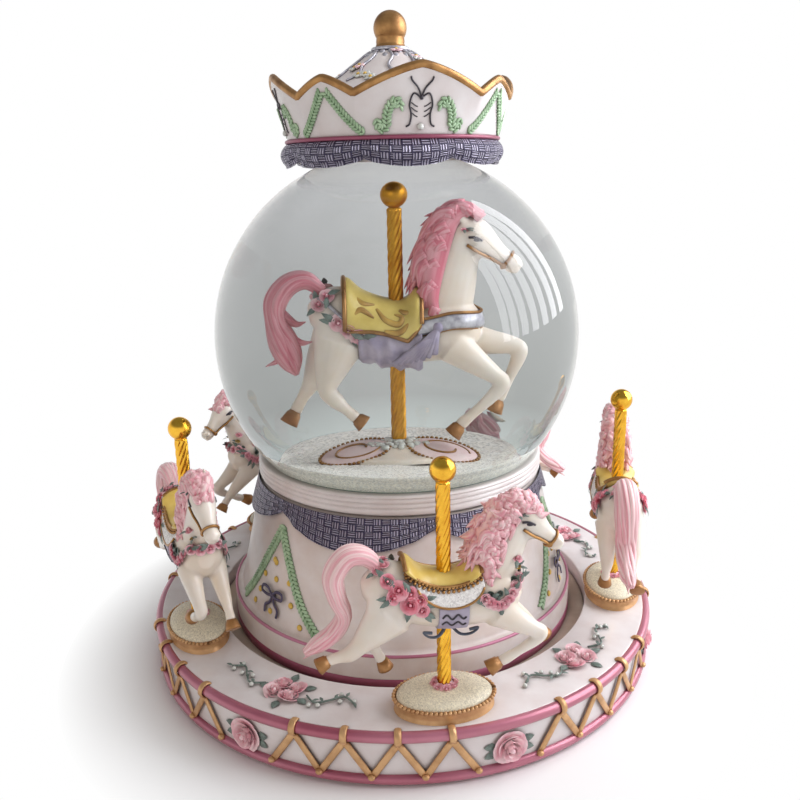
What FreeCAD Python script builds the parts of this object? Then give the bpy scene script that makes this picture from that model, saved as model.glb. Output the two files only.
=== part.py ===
import FreeCAD, Part
import math
import os
import re
import Sketcher

# A musical water globe: a drum carries a globe with one carousel horse in it, and a ring of five
# carousel horses turns round the drum, driven by a spring movement inside it.
# Millimetres, +Z up, origin under the middle of the feet. Angles are in degrees from +X.

Vector = FreeCAD.Vector
Z_AXIS = Vector(0, 0, 1)
X_AXIS = Vector(1, 0, 0)

SIZES = {
    # stack of flat parts from the table up
    "foot_height": 1.0, "foot_radius": 4.0, "pan_thickness": 2.0, "pan_radius": 65.5,
    "pan_lip_height": 1.0, "pan_lip_width": 1.6, "step_floor": 0.8,
    "glide_height": 0.9, "axial_gap": 0.1, "ring_gear_thickness": 3.4, "slip_ring_thickness": 0.8,
    "deck_thickness": 1.7, "deck_radius": 54.2, "bearing_gap": 0.3,
    # drum and its step
    "step_radius": 49.7, "step_height": 9.1, "drum_foot_radius": 47.6, "drum_top_radius": 39.8,
    "drum_height": 32.9, "drum_wall": 2.6, "drum_mouth_radius": 30.0, "boss_radius": 3.6,
    "swag_count": 6, "swag_drop": 8.4, "swag_rise": 3.2, "drape_thickness": 1.2,
    # ring of horses
    "ring_radius": 71.4, "ring_height": 13.2, "ring_wall": 3.2, "ring_ground_gap": 1.0,
    "bead_radius": 1.9, "foot_bead_radius": 1.1, "horse_count": 5, "horse_circle_radius": 62.2,
    "first_horse_angle": -81.5, "plinth_length": 24.0, "plinth_width": 14.6, "plinth_height": 3.0,
    "plinth_dome": 2.4, "side_rose_count": 7, "straps_per_bay": 4, "strap_width": 1.7,
    "strap_thickness": 1.0, "rose_radius": 2.3,
    # poles and horses
    "pole_radius": 1.55, "pole_ball_radius": 2.95, "pole_rise": 27.2, "horse_length": 58.7,
    "hoof_gap": 1.6, "twist_lead": 26.0, "twist_depth": 0.22, "glue_gap": 0.05,
    # globe
    "globe_radius": 50.0, "glass_wall": 2.4, "glass_mouth_radius": 35.8, "stopper_flange": 3.0,
    "plug_height": 3.0, "seat_gap": 0.3, "collar_radius": 40.5, "collar_height": 5.5,
    "snow_height": 5.5, "inner_plinth_length": 28.0, "inner_plinth_width": 18.0,
    "inner_plinth_height": 4.4, "inner_pole_radius": 1.75, "inner_ball_radius": 3.1,
    "inner_horse_length": 54.0, "inner_hoof_gap": 1.0, "inner_pole_rise": 25.8,
    # crown
    "crown_foot_radius": 27.5, "crown_rim_radius": 31.5, "crown_band_height": 9.8,
    "crown_wall": 2.0, "crown_lift": 1.8, "seat_depth": 5.2, "wide_scallop_rise": 5.8,
    "narrow_scallop_rise": 3.5, "first_scallop_angle": -76.5, "crown_swag_count": 8,
    "first_crown_swag_angle": -81.5, "crown_swag_rise": 2.6, "crown_drape_drop": 3.0,
    "crown_drape_bulge": 2.2, "roof_rise": 12.6, "roof_knee_radius": 14.2, "roof_neck_radius": 5.0,
    "finial_radius": 4.3, "finial_neck_radius": 3.7, "finial_neck_height": 2.0,
    # drive from the movement to the ring
    "drive_module": 1.5, "ring_teeth": 68, "lay_teeth": 14, "gear_backlash": 0.3, "rim_width": 5.0,
    "train_module": 1.0, "lay_pinion_teeth": 11, "great_wheel_teeth": 54, "shaft_radius": 1.5,
    "shaft_fit": 0.06, "wheel_thickness": 2.0, "lift": 0.5,
    # movement
    "well_radius": 18.0, "well_wall": 1.6, "key_width": 21.0, "key_height": 7.0,
    "bedplate_thickness": 1.5, "barrel_radius": 14.0, "barrel_height": 7.5, "barrel_wall": 0.8,
    "crown_teeth": 25, "crown_pinion_teeth": 10, "crown_tooth_width": 2.2, "arbor_radius": 2.0,
    "cylinder_radius": 6.5, "cylinder_length": 23.0, "cylinder_wall": 0.8, "pin_length": 0.6,
    "pin_radius": 0.25, "comb_teeth": 18, "comb_gap": 1.0, "comb_depth": 15.0,
    "comb_thickness": 1.4, "comb_slot": 0.3, "worm_module": 0.75, "worm_wheel_teeth": 24,
    "worm_radius": 2.2, "fan_radius": 4.4, "fan_height": 6.0, "fan_thickness": 0.6,
    "fan_hub_radius": 1.6, "fan_lift": 7.0, "bracket_thickness": 1.4, "axle_radius": 0.9,
    "spindle_radius": 0.8, "key_thickness": 2.0, "bed_front": 36.0, "bed_half_width": 25.0,
    "frame_width": 8.0, "beam_thickness": 2.2,
    # fasteners
    "screw_radius": 1.2, "screw_head_radius": 2.2, "screw_head_height": 1.2,
    "small_screw_radius": 0.7, "small_head_radius": 1.3, "small_head_height": 0.6,
}

doc = FreeCAD.newDocument("carousel_music_box")
sheet = doc.addObject("Spreadsheet::Sheet", "Sizes")
for row, (alias, number) in enumerate(SIZES.items(), start=1):
    sheet.set("A%d" % row, alias)
    sheet.set("B%d" % row, str(number))
    sheet.setAlias("B%d" % row, alias)
doc.recompute()


def size(text):
    """Value of a sum of sheet aliases, in millimetres or degrees."""
    result = sheet.evalExpression(str(text))
    return float(result)


def bound(text):
    """The same sum written for another object's property."""
    return re.sub(r"[a-z]+(?:_[a-z]+)+|lift", lambda m: "Sizes." + m.group(0), str(text))


# Heights of the faces where parts meet, from the table up
PAN_TOP = "foot_height + pan_thickness"
GEAR_FOOT = PAN_TOP + " + glide_height + axial_gap"
GEAR_TOP = GEAR_FOOT + " + ring_gear_thickness"
SLIP_FOOT = GEAR_TOP + " + axial_gap"
DECK_FOOT = SLIP_FOOT + " + slip_ring_thickness"
DECK_TOP = DECK_FOOT + " + deck_thickness"
STEP_TOP = DECK_TOP + " + step_height"
DRUM_TOP = STEP_TOP + " + drum_height"
MOUTH = DRUM_TOP + " + stopper_flange"
RING_TOP = "ring_ground_gap + ring_height"
GLOBE_CENTRE = MOUTH + " + sqrt(globe_radius ^ 2 - glass_mouth_radius ^ 2)"
PLUG_TOP = MOUTH + " + plug_height"
SNOW_TOP = PLUG_TOP + " + snow_height"
BAND_FOOT = GLOBE_CENTRE + " + globe_radius + crown_lift"
VALLEY = BAND_FOOT + " + crown_band_height"
ROOF_TOP = VALLEY + " + roof_rise"
BED_FOOT = DECK_TOP + " + well_wall + bearing_gap"
BED_TOP = BED_FOOT + " + bedplate_thickness"
WHEEL_FOOT = BED_TOP + " + lift"
BARREL_FOOT = WHEEL_FOOT + " + wheel_thickness"
BARREL_TOP = BARREL_FOOT + " + barrel_height"
CROWN_TOOTH = BARREL_TOP + " + barrel_wall + train_module * 1.1"
CYLINDER_HEIGHT = CROWN_TOOTH + " + crown_pinion_teeth * train_module / 2"

# Gear centres in plan: the lay gear meshes inside the ring gear, the great wheel beside the lay pinion
LAY_X = "(lay_teeth - ring_teeth) * drive_module / 2"
KEY_X = LAY_X + " + (lay_pinion_teeth + great_wheel_teeth) * train_module / 2"
RING_ROOT = "(ring_teeth + 2.5) * drive_module / 2"
MESH_X = KEY_X + " + crown_teeth * train_module / 2"
CYLINDER_X = MESH_X + " + crown_tooth_width / 2 + bracket_thickness + 2 * lift"
WORM_WHEEL_X = CYLINDER_X + " + cylinder_length + 2 * lift"
WORM_Y = "worm_wheel_teeth * worm_module / 2 + worm_radius"


def origin_plane(body, role):
    return next(plane for plane in body.Origin.OriginFeatures if plane.Role == role)


def outline_sketch(body, name, role, points):
    """Closed outline whose corners are held at sums of sheet sizes, none of them negative."""
    sketch = body.newObject("Sketcher::SketchObject", name)
    sketch.AttachmentSupport = (origin_plane(body, role), [""])
    sketch.MapMode = "FlatFace"
    places = [(size(across), size(up)) for across, up in points]
    count = len(points)
    for i in range(count):
        start = Vector(*places[i], 0)
        end = Vector(*places[(i + 1) % count], 0)
        sketch.addGeometry(Part.LineSegment(start, end), False)
    for i in range(count):
        sketch.addConstraint(Sketcher.Constraint("Coincident", i, 2, (i + 1) % count, 1))
    for i in range(count):
        for kind, axis, place, text in (("DistanceX", -2, places[i][0], points[i][0]),
                                        ("DistanceY", -1, places[i][1], points[i][1])):
            if text == "0":
                sketch.addConstraint(Sketcher.Constraint("PointOnObject", i, 1, axis))
                continue
            index = sketch.addConstraint(Sketcher.Constraint(kind, -1, 1, i, 1, place))
            sketch.setExpression("Constraints[%d]" % index, bound(text))
    doc.recompute()
    return sketch


def turned(name, points):
    """Body of revolution about the Z axis from an outline of (radius, height) corners."""
    body = doc.addObject("PartDesign::Body", name)
    sketch = outline_sketch(body, name + "_outline", "XZ_Plane", points)
    turn = body.newObject("PartDesign::Revolution", name + "_turn")
    turn.Profile = sketch
    turn.ReferenceAxis = (sketch, ["V_Axis"])
    turn.Angle = 360
    doc.recompute()
    return body


def place(thing, x="0", y="0", z="0"):
    for axis, text in (("x", x), ("y", y), ("z", z)):
        thing.setExpression("Placement.Base." + axis, bound(text))
    return thing


def cylinder(name, radius, height, x="0", y="0", z="0"):
    rod = doc.addObject("Part::Cylinder", name)
    rod.setExpression("Radius", bound(radius))
    rod.setExpression("Height", bound(height))
    return place(rod, x, y, z)


def rod_along_x(name, radius, length, x, y, z):
    rod = cylinder(name, radius, length, x, y, z)
    rod.Placement = FreeCAD.Placement(Vector(), FreeCAD.Rotation(Vector(0, 1, 0), 90))
    return place(rod, x, y, z)


def ball(name, radius, z):
    sphere = doc.addObject("Part::Sphere", name)
    sphere.setExpression("Radius", bound(radius))
    return place(sphere, z=z)


def bead(name, circle, radius, z):
    torus = doc.addObject("Part::Torus", name)
    torus.setExpression("Radius1", bound(circle))
    torus.setExpression("Radius2", bound(radius))
    return place(torus, z=z)


def block(name, length, width, height, x, y, z):
    box = doc.addObject("Part::Box", name)
    box.setExpression("Length", bound(length))
    box.setExpression("Width", bound(width))
    box.setExpression("Height", bound(height))
    return place(box, x, y, z)


def joined(name, pieces):
    fuse = doc.addObject("Part::MultiFuse", name)
    fuse.Shapes = pieces
    return fuse


def less(name, base, tools):
    cut = doc.addObject("Part::Cut", name)
    cut.Base = base
    cut.Tool = tools[0] if len(tools) == 1 else joined(name + "_tools", tools)
    return cut


def together(name, pieces):
    """Separate solids of one kind, such as a set of screws."""
    group = doc.addObject("Part::Compound", name)
    group.Links = pieces
    return group


def feature(name, shape):
    thing = doc.addObject("Part::Feature", name)
    thing.Shape = shape
    return thing


def polar(radius, degrees, z=0.0):
    turn = math.radians(degrees)
    return Vector(radius * math.cos(turn), radius * math.sin(turn), z)


def tooth_half_angle(teeth, ratio):
    """Half angle in radians of an involute tooth at a radius given as a share of the pitch radius."""
    pressure = math.radians(20)
    there = math.acos(min(1.0, math.cos(pressure) / ratio))
    return math.pi / (2 * teeth) + math.tan(pressure) - pressure - math.tan(there) + there


def gear_face(teeth, module, inner, outer, slack, phase):
    """Gear outline: flanks run straight from the inner to the outer radius, one tooth at the phase."""
    pitch = teeth * module / 2
    corners = []
    for i in range(int(teeth)):
        middle = math.radians(phase) + 2 * math.pi * i / teeth
        for side, radius in ((-1, inner), (-1, outer), (1, outer), (1, inner)):
            half = tooth_half_angle(teeth, radius / pitch) + slack / (2 * pitch)
            corners.append(polar(radius, math.degrees(middle + side * half)))
    return Part.Face(Part.makePolygon(corners + corners[:1]))


def spur_gear(teeth, module, thickness, bore, phase):
    pitch = teeth * module / 2
    slack = -size("gear_backlash") * module / 2
    face = gear_face(teeth, module, pitch - 1.2 * module, pitch + 0.9 * module, slack, phase)
    gear = face.extrude(Z_AXIS * thickness)
    return gear.cut(Part.makeCylinder(bore, thickness))


def ring_of_sections(count, section):
    """Solid ring lofted through plane sections set round the Z axis; section gives (radius, height)."""
    wires = []
    for i in range(count):
        degrees = 360.0 * i / count
        corners = [polar(radius, degrees, z) for radius, z in section(degrees)]
        wires.append(Part.makePolygon(corners + corners[:1]))
    return Part.makeLoft(wires, True, True, True)


def scallop(degrees, first, width):
    """0 at the points between scallops, 1 at the middle of each."""
    share = ((degrees - first) / width + 0.5) % 1.0
    return math.sin(math.pi * share)


def screw(name, radius, head_radius, head_height, length, x, y, top, z_down=True):
    """Round-headed screw with its head's top face at the given height, pointing down or up."""
    if z_down:
        shank_foot = "%s - (%s) - (%s)" % (top, head_height, length)
        head_foot = "%s - (%s)" % (top, head_height)
    else:
        shank_foot = "%s + (%s)" % (top, head_height)
        head_foot = top
    shank = cylinder(name + "_shank", radius, length, x, y, shank_foot)
    head = cylinder(name + "_head", head_radius, head_height, x, y, head_foot)
    return joined(name, [shank, head])


def spot(radius, degrees):
    """Plan position as sums of sheet sizes."""
    return ("(%s) * cos(%s deg)" % (radius, degrees), "(%s) * sin(%s deg)" % (radius, degrees))


POST_CIRCLE = "ring_teeth * drive_module / 2 - 2 * drive_module - boss_radius"
POST_ANGLES = (0, 100, 260)
GLIDE_CIRCLE = RING_ROOT + " + rim_width / 2"


def base_parts():
    """Pan with the key well, feet, glides, deck and the screws that tie them to the drum."""
    well_top = DECK_TOP + " + well_wall"
    lip_top = PAN_TOP + " + pan_lip_height"
    lip_inside = "pan_radius - pan_lip_width"
    disc = turned("pan_disc", [("0", "foot_height"), ("pan_radius", "foot_height"), ("pan_radius", lip_top),
                               (lip_inside, lip_top), (lip_inside, PAN_TOP), ("0", PAN_TOP)])
    cup = cylinder("well_cup", "well_radius + well_wall", well_top + " - foot_height",
                   KEY_X, "0", "foot_height")
    room = cylinder("well_room", "well_radius", DECK_TOP + " - foot_height", KEY_X, "0", "foot_height")
    eye = cylinder("well_eye", "arbor_radius + shaft_fit", well_top, KEY_X)
    posts = []
    holes = [room, eye]
    screws = []
    for i, degrees in enumerate(POST_ANGLES):
        x, y = spot(POST_CIRCLE, degrees)
        posts.append(cylinder("post_%d" % i, "boss_radius", DECK_FOOT + " - foot_height",
                              x, y, "foot_height"))
        holes.append(cylinder("post_hole_%d" % i, "screw_radius + shaft_fit", DECK_TOP, x, y))
        holes.append(cylinder("post_sink_%d" % i, "screw_head_radius + seat_gap",
                              "foot_height + screw_head_height + 0.2", x, y))
        screws.append(screw("chassis_screw_%d" % i, "screw_radius", "screw_head_radius", "screw_head_height",
                            DECK_TOP + " - foot_height", x, y, "foot_height + 0.2", z_down=False))
    x, y = LAY_X, "0"
    holes.append(cylinder("lay_step_bearing", "shaft_radius + shaft_fit", "pan_thickness",
                          x, y, "foot_height + step_floor"))
    less("base_pan", joined("pan_blank", [disc, cup] + posts), holes)
    together("chassis_screws", screws)

    feet = []
    for degrees in (45, 135, 225, 315):
        x, y = spot("pan_radius - foot_radius - 3.5", degrees)
        feet.append(cylinder("foot_%d" % degrees, "foot_radius", "foot_height", x, y))
    together("rubber_feet", feet)
    pads = []
    for degrees in (30, 90, 150, 210, 270, 330):
        x, y = spot(GLIDE_CIRCLE, degrees)
        pads.append(cylinder("glide_%d" % degrees, "rim_width / 2", "glide_height", x, y, PAN_TOP))
    together("glide_pads", pads)

    deck = cylinder("deck_blank", "deck_radius", "deck_thickness", z=DECK_FOOT)
    openings = [cylinder("deck_well", "well_radius + well_wall + bearing_gap", DECK_TOP, KEY_X)]
    openings.append(cylinder("deck_bearing", "shaft_radius + shaft_fit", DECK_TOP, LAY_X))
    for i, degrees in enumerate(POST_ANGLES):
        x, y = spot(POST_CIRCLE, degrees)
        openings.append(cylinder("deck_hole_%d" % i, "screw_radius + shaft_fit", DECK_TOP, x, y))
    rim_circle = "(deck_radius + step_radius) / 2"
    slip_inner = "step_radius - bearing_gap"
    slip_holes = [cylinder("slip_bore", slip_inner, "slip_ring_thickness", z=SLIP_FOOT)]
    rim_screws = []
    for i in range(5):
        x, y = spot(rim_circle, -54 + 72 * i)
        length = "deck_thickness - 0.2"
        openings.append(cylinder("rim_hole_%d" % i, "small_screw_radius", DECK_TOP, x, y))
        rim_screws.append(screw("rim_screw_%d" % i, "small_screw_radius", "small_head_radius",
                                "small_head_height", length, x, y, DECK_TOP + " + small_head_height"))
    less("deck_plate", deck, openings)
    slip = cylinder("slip_blank", "deck_radius - 0.4", "slip_ring_thickness", z=SLIP_FOOT)
    less("slip_ring", slip, slip_holes)
    together("rim_screws", rim_screws)


def drum_parts():
    """Tapered drum on its step, the drape round its top and the collar that holds the globe."""
    shell = turned("drum_shell", [
        ("step_radius", DECK_TOP), ("step_radius", STEP_TOP), ("drum_foot_radius", STEP_TOP),
        ("drum_top_radius", DRUM_TOP), ("drum_mouth_radius", DRUM_TOP),
        ("drum_mouth_radius", DRUM_TOP + " - drum_wall"),
        ("drum_top_radius - drum_wall", DRUM_TOP + " - drum_wall"),
        ("drum_foot_radius - drum_wall", STEP_TOP),
        ("step_radius - drum_wall", STEP_TOP + " - drum_wall"), ("step_radius - drum_wall", DECK_TOP)])
    bosses = []
    pilots = []
    for i, degrees in enumerate(POST_ANGLES):
        x, y = spot(POST_CIRCLE, degrees)
        bosses.append(cylinder("boss_%d" % i, "boss_radius", "step_height", x, y, DECK_TOP))
        pilots.append(cylinder("pilot_%d" % i, "screw_radius", "step_height - 1.5", x, y, DECK_TOP))
    less("drum_body", joined("drum_blank", [shell] + bosses), pilots)

    top = size(DRUM_TOP)
    slope = size("(drum_foot_radius - drum_top_radius) / drum_height")
    bay = 360 / size("swag_count")
    thick = size("drape_thickness")

    def drape_section(degrees):
        foot = top - size("swag_drop") + size("swag_rise") * (1 - scallop(degrees, 18.0, bay))
        wall = size("drum_top_radius") + 0.08
        belly = thick * (0.75 + 0.45 * scallop(degrees, 18.0, bay))
        return ((wall, top), (wall + slope * (top - foot), foot),
                (wall + slope * (top - foot) + belly, foot + 0.5), (wall + thick * 0.6, top))

    feature("drum_drape", ring_of_sections(int(size("swag_count")) * 12, drape_section))
    low = DRUM_TOP + " + 0.1"
    seat = "glass_mouth_radius + seat_gap + 0.2"
    turned("globe_collar", [
        (seat, low), ("collar_radius", low), ("collar_radius", low + " + collar_height * 0.3"),
        ("collar_radius - 0.5", low + " + collar_height * 0.36"),
        ("collar_radius - 0.5", low + " + collar_height * 0.42"),
        ("collar_radius", low + " + collar_height * 0.48"),
        ("collar_radius", low + " + collar_height * 0.66"),
        ("collar_radius - 0.5", low + " + collar_height * 0.72"),
        ("collar_radius - 0.5", low + " + collar_height * 0.78"),
        ("collar_radius - 0.1", low + " + collar_height * 0.84"),
        ("collar_radius - 0.6", low + " + collar_height"),
        ("glass_mouth_radius + seat_gap + 2.4", low + " + collar_height"), (seat, MOUTH + " + 0.2")])


def globe_parts():
    """Glass ball open at the foot, its stopper, the snow floor and the inner horse's stand."""
    glass = ball("glass_outside", "globe_radius", GLOBE_CENTRE)
    hollow = ball("glass_inside", "globe_radius - glass_wall", GLOBE_CENTRE)
    mouth = cylinder("glass_mouth", "globe_radius", "globe_radius", z=MOUTH + " - globe_radius")
    less("glass_globe", glass, [hollow, mouth])
    neck = "sqrt((globe_radius - glass_wall) ^ 2 - globe_radius ^ 2 + glass_mouth_radius ^ 2)"
    turned("globe_stopper", [
        ("0", DRUM_TOP + " - drum_wall"), ("drum_mouth_radius - seat_gap", DRUM_TOP + " - drum_wall"),
        ("drum_mouth_radius - seat_gap", DRUM_TOP), ("glass_mouth_radius", DRUM_TOP),
        ("glass_mouth_radius", MOUTH), (neck, MOUTH), (neck, PLUG_TOP), ("0", PLUG_TOP)])
    floor = "inner_plinth_length / 2 + 2"
    turned("snow_floor", [
        ("0", PLUG_TOP), (neck, PLUG_TOP), (neck + " + 2", PLUG_TOP + " + snow_height * 0.25"),
        (neck + " - 3", PLUG_TOP + " + snow_height * 0.65"),
        (floor + " + 5", SNOW_TOP + " - snow_height * 0.1"),
        (floor, SNOW_TOP), ("0", SNOW_TOP)])


def oval(length, width, z):
    """Oval ring, long across the X axis's normal, at a height."""
    curve = Part.Ellipse(Vector(0, length / 2, z), Vector(width / 2, 0, z), Vector(0, 0, z))
    return Part.Wire(curve.toShape())


def oval_stand(steps):
    """Solid lofted through ovals given as (length, width, height)."""
    return Part.makeLoft([oval(*step) for step in steps], True, True)


def twisted_pole(radius, length, ball_radius, plain):
    """Barley-twist rod from z=0 up, plain at its foot, with a ball on top; the twist has three lobes."""
    depth = size("twist_depth")
    lead = size("twist_lead")
    sections = []
    top = length - 2 * radius
    count = max(4, int(math.ceil((top - plain) / lead * 8)))
    for i in range(count + 1):
        z = plain + (top - plain) * i / count
        points = []
        for k in range(12):
            degrees = 30 * k
            lobe = radius - depth * (1 - math.cos(math.radians(3 * degrees))) / 2
            points.append(polar(lobe, degrees + 360 * z / lead, z))
        curve = Part.BSplineCurve()
        curve.interpolate(points, PeriodicFlag=True)
        sections.append(Part.Wire(curve.toShape()))
    rod = Part.makeLoft(sections, True, False)
    knob = Part.makeSphere(ball_radius, Vector(0, 0, length + ball_radius * 0.9))
    foot = Part.makeCylinder(radius, plain + 0.5)
    neck = Part.makeCylinder(radius, 2 * radius + 0.5, Vector(0, 0, top - 0.5))
    return rod.multiFuse([foot, neck, knob]).Solids[0]


def tapered_limb(stations, side=0.0, gain=0.0):
    """Loft through ovals along a path in the horse's middle plane.

    A station is (forward, up, half thickness in the plane, half width); side shifts the limb outward,
    and gain fattens it all round.
    """
    wires = []
    last = len(stations) - 1
    for i, (forward, up, half_thick, half_wide) in enumerate(stations):
        before = stations[max(i - 1, 0)]
        after = stations[min(i + 1, last)]
        run = Vector(after[0] - before[0], 0, after[1] - before[1]).normalize()
        across = Vector(-run.z, 0, run.x)
        centre = Vector(forward, side, up)
        points = []
        for k in range(8):
            turn = math.pi * k / 4
            points.append(centre + across * ((half_thick + gain) * math.cos(turn))
                          + Vector(0, (half_wide + gain) * math.sin(turn), 0))
        curve = Part.BSplineCurve()
        curve.interpolate(points, PeriodicFlag=True)
        wires.append(Part.Wire(curve.toShape()))
    return Part.makeLoft(wires, True, False)


TORSO = ((-18.6, 2.8, 1.4, 1.3), (-17.4, 2.8, 3.8, 3.4), (-14.3, 2.7, 6.6, 5.6), (-9.0, 1.6, 6.8, 6.2),
         (-2.0, -0.6, 6.3, 6.2), (5.0, -0.6, 6.5, 6.3), (11.0, 0.6, 6.8, 5.8), (15.2, 1.0, 5.0, 4.4),
         (17.2, 1.2, 2.4, 2.2))
OUTER_POSE = {
    "drawn_length": 58.7,
    "neck": ((9.0, 1.0, 6.2, 4.6), (12.0, 7.0, 5.3, 3.9), (14.6, 12.2, 4.4, 3.2), (16.7, 16.2, 3.8, 2.8),
             (18.0, 18.8, 2.6, 2.3)),
    "head": ((16.6, 19.4, 2.2, 2.0), (19.3, 16.9, 3.5, 2.9), (22.0, 14.4, 2.7, 2.3), (24.5, 12.1, 2.0, 1.8),
             (26.2, 10.5, 1.9, 1.8), (27.0, 9.8, 1.0, 1.1)),
    "mane": ((20.2, 19.6, 0.9, 1.2), (17.6, 21.8, 1.9, 2.0), (13.6, 20.2, 3.0, 2.8), (10.2, 15.6, 3.5, 3.2),
             (8.4, 10.2, 3.2, 3.2), (8.8, 4.6, 1.8, 2.0)),
    "tail": ((-14.6, 7.0, 1.8, 1.6), (-17.8, 10.6, 2.1, 1.9), (-21.8, 10.8, 2.3, 2.1),
             (-24.8, 7.0, 2.3, 2.1), (-24.4, 1.8, 2.4, 2.0), (-23.8, -2.8, 2.7, 1.9),
             (-26.6, -6.8, 2.6, 1.7), (-29.6, -9.0, 2.0, 1.3), (-31.4, -9.9, 1.1, 0.9)),
    "legs": (
        (-3.3, (12.0, -2.0), (21.8, -9.8), (13.8, -15.8), (10.6, -17.4)),
        (3.3, (12.0, -2.5), (19.4, -8.8), (23.6, -13.2), (25.0, -15.0)),
        (-3.3, (-13.0, -0.5), (-20.8, -9.2), (-26.2, -11.6), (-28.8, -12.8)),
        (3.3, (-11.5, -1.0), (-16.4, -10.4), (-14.0, -16.0), (-13.2, -18.2)),
    ),
    "ears": ((17.2, 21.4), (17.6, 24.4)),
}
INNER_POSE = {
    "drawn_length": 54.0,
    "neck": ((9.0, 1.0, 6.4, 4.6), (11.4, 8.0, 5.5, 3.9), (13.2, 14.0, 4.5, 3.2), (14.6, 18.6, 3.9, 2.8),
             (15.4, 21.6, 2.6, 2.3)),
    "head": ((14.4, 22.0, 2.2, 2.0), (17.2, 19.6, 3.6, 2.9), (20.4, 16.8, 2.8, 2.3), (23.4, 14.2, 2.1, 1.8),
             (25.2, 12.6, 2.0, 1.8), (26.2, 11.8, 1.0, 1.1)),
    "mane": ((18.0, 23.4, 0.9, 1.2), (15.4, 25.4, 1.9, 2.0), (11.6, 23.4, 3.0, 2.8), (8.8, 18.4, 3.5, 3.2),
             (7.4, 12.4, 3.2, 3.2), (8.0, 6.0, 1.8, 2.0)),
    "tail": ((-15.0, 7.6, 1.8, 1.6), (-19.0, 9.8, 2.2, 2.0), (-23.0, 8.4, 2.6, 2.2), (-24.6, 3.8, 2.5, 2.2),
             (-23.4, -1.2, 3.0, 2.2), (-22.0, -5.6, 2.6, 1.8), (-21.4, -9.2, 0.9, 0.8)),
    "legs": (
        (-3.3, (12.0, -2.0), (21.6, -10.6), (13.4, -20.0), (11.4, -22.2)),
        (3.3, (12.6, -1.5), (25.4, -5.2), (20.8, -15.6), (19.6, -18.4)),
        (-3.3, (-12.0, -0.5), (-14.8, -12.0), (-9.4, -17.6), (-7.4, -19.6)),
        (3.3, (-12.5, -0.5), (-17.6, -11.6), (-21.2, -17.6), (-22.6, -20.0)),
    ),
    "ears": ((14.6, 24.4), (15.0, 27.4)),
}
SADDLE_OUTLINE = ((-9.6, 12.0), (-9.0, 3.0), (-6.0, -2.6), (0.6, -4.0), (6.0, -2.4), (8.6, 4.0), (7.6, 12.0))


def straight_limb(start, end, start_size, end_size, side):
    """Tapered oval limb between two points of the middle plane, with half thickness and half width."""
    return tapered_limb((start + start_size, end + end_size), side)


def leg(side, top, knee, fetlock, toe):
    """Upper leg, cannon and hoof, with a ball at the knee."""
    parts = [straight_limb(top, knee, (3.5, 2.5), (1.7, 1.6), side),
             straight_limb(knee, fetlock, (1.6, 1.5), (1.15, 1.1), side),
             straight_limb(fetlock, toe, (1.2, 1.2), (1.9, 1.7), side),
             Part.makeSphere(1.75, Vector(knee[0], side, knee[1])),
             Part.makeSphere(1.35, Vector(fetlock[0], side, fetlock[1]))]
    return parts


def carousel_horse(pose, length, bore):
    """Cast horse facing +X with the pole's bore through its saddle at the origin."""
    parts = [tapered_limb(pose["neck"]), tapered_limb(pose["head"]), tapered_limb(pose["mane"]),
             tapered_limb(pose["tail"])]
    for definition in pose["legs"]:
        parts += leg(*definition)
    base, tip = pose["ears"]
    for side in (-1.4, 1.4):
        start = Vector(base[0], side, base[1] - 1.0)
        parts.append(Part.makeCone(1.0, 0.2, 3.0, start, Vector(tip[0] - base[0], 0, tip[1] - base[1])))
    corners = [Vector(forward, -12, up) for forward, up in SADDLE_OUTLINE]
    cutter = Part.Face(Part.makePolygon(corners + corners[:1])).extrude(Vector(0, 24, 0))
    parts.append(tapered_limb(TORSO, gain=0.7).common(cutter))
    horse = tapered_limb(TORSO).multiFuse(parts)
    horse.scale(length / pose["drawn_length"])
    return horse.cut(Part.makeCylinder(bore, 2 * length, Vector(0, 0, -length))).Solids[0]


HORSE_HEIGHT = RING_TOP + " + plinth_height + plinth_dome + hoof_gap + horse_length * 0.365"
INNER_HEIGHT = SNOW_TOP + " + inner_plinth_height + inner_hoof_gap + inner_horse_length * 0.415"


def rosette(radius):
    """Open rose: five round petals about a raised heart, flat underneath."""
    petals = [Part.makeSphere(0.5 * radius, polar(0.52 * radius, 72 * k, 0.05 * radius)) for k in range(5)]
    heart = Part.makeSphere(0.52 * radius, Vector(0, 0, 0.3 * radius))
    above = Part.makeCylinder(2 * radius, 2 * radius)
    return heart.multiFuse(petals).common(above).Solids[0]


def strap(start, end, radius, wide, thick):
    """Flat strap against the ring's wall between two (degrees, height) points."""
    wires = []
    for degrees, z in (start, end):
        inner = polar(radius - thick, degrees, z)
        outer = polar(radius + thick, degrees, z)
        along = polar(wide / 2, degrees + 90)
        corners = [inner - along, outer - along * 0.7, outer + along * 0.7, inner + along]
        wires.append(Part.makePolygon(corners + corners[:1]))
    return Part.makeLoft(wires, True, True)


def lattice_bay(ring):
    """One bay of zigzag straps, hollowed to lie on the ring's wall and beads."""
    knots = int(size("straps_per_bay"))
    step = 360.0 / size("side_rose_count") / (2 * knots + 2.5)
    low = size("ring_ground_gap + foot_bead_radius")
    high = size(RING_TOP + " - bead_radius * 0.5")
    straps = []
    for k in range(2 * knots):
        first = (1.25 + k) * step
        ends = [(first, low), (first + step, high)]
        if k % 2:
            ends = [(first, high), (first + step, low)]
        straps.append(strap(ends[0], ends[1], size("ring_radius"), size("strap_width"),
                            size("strap_thickness + 0.9")))
    return straps[0].multiFuse(straps[1:]).cut(ring).Solids[0]


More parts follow.
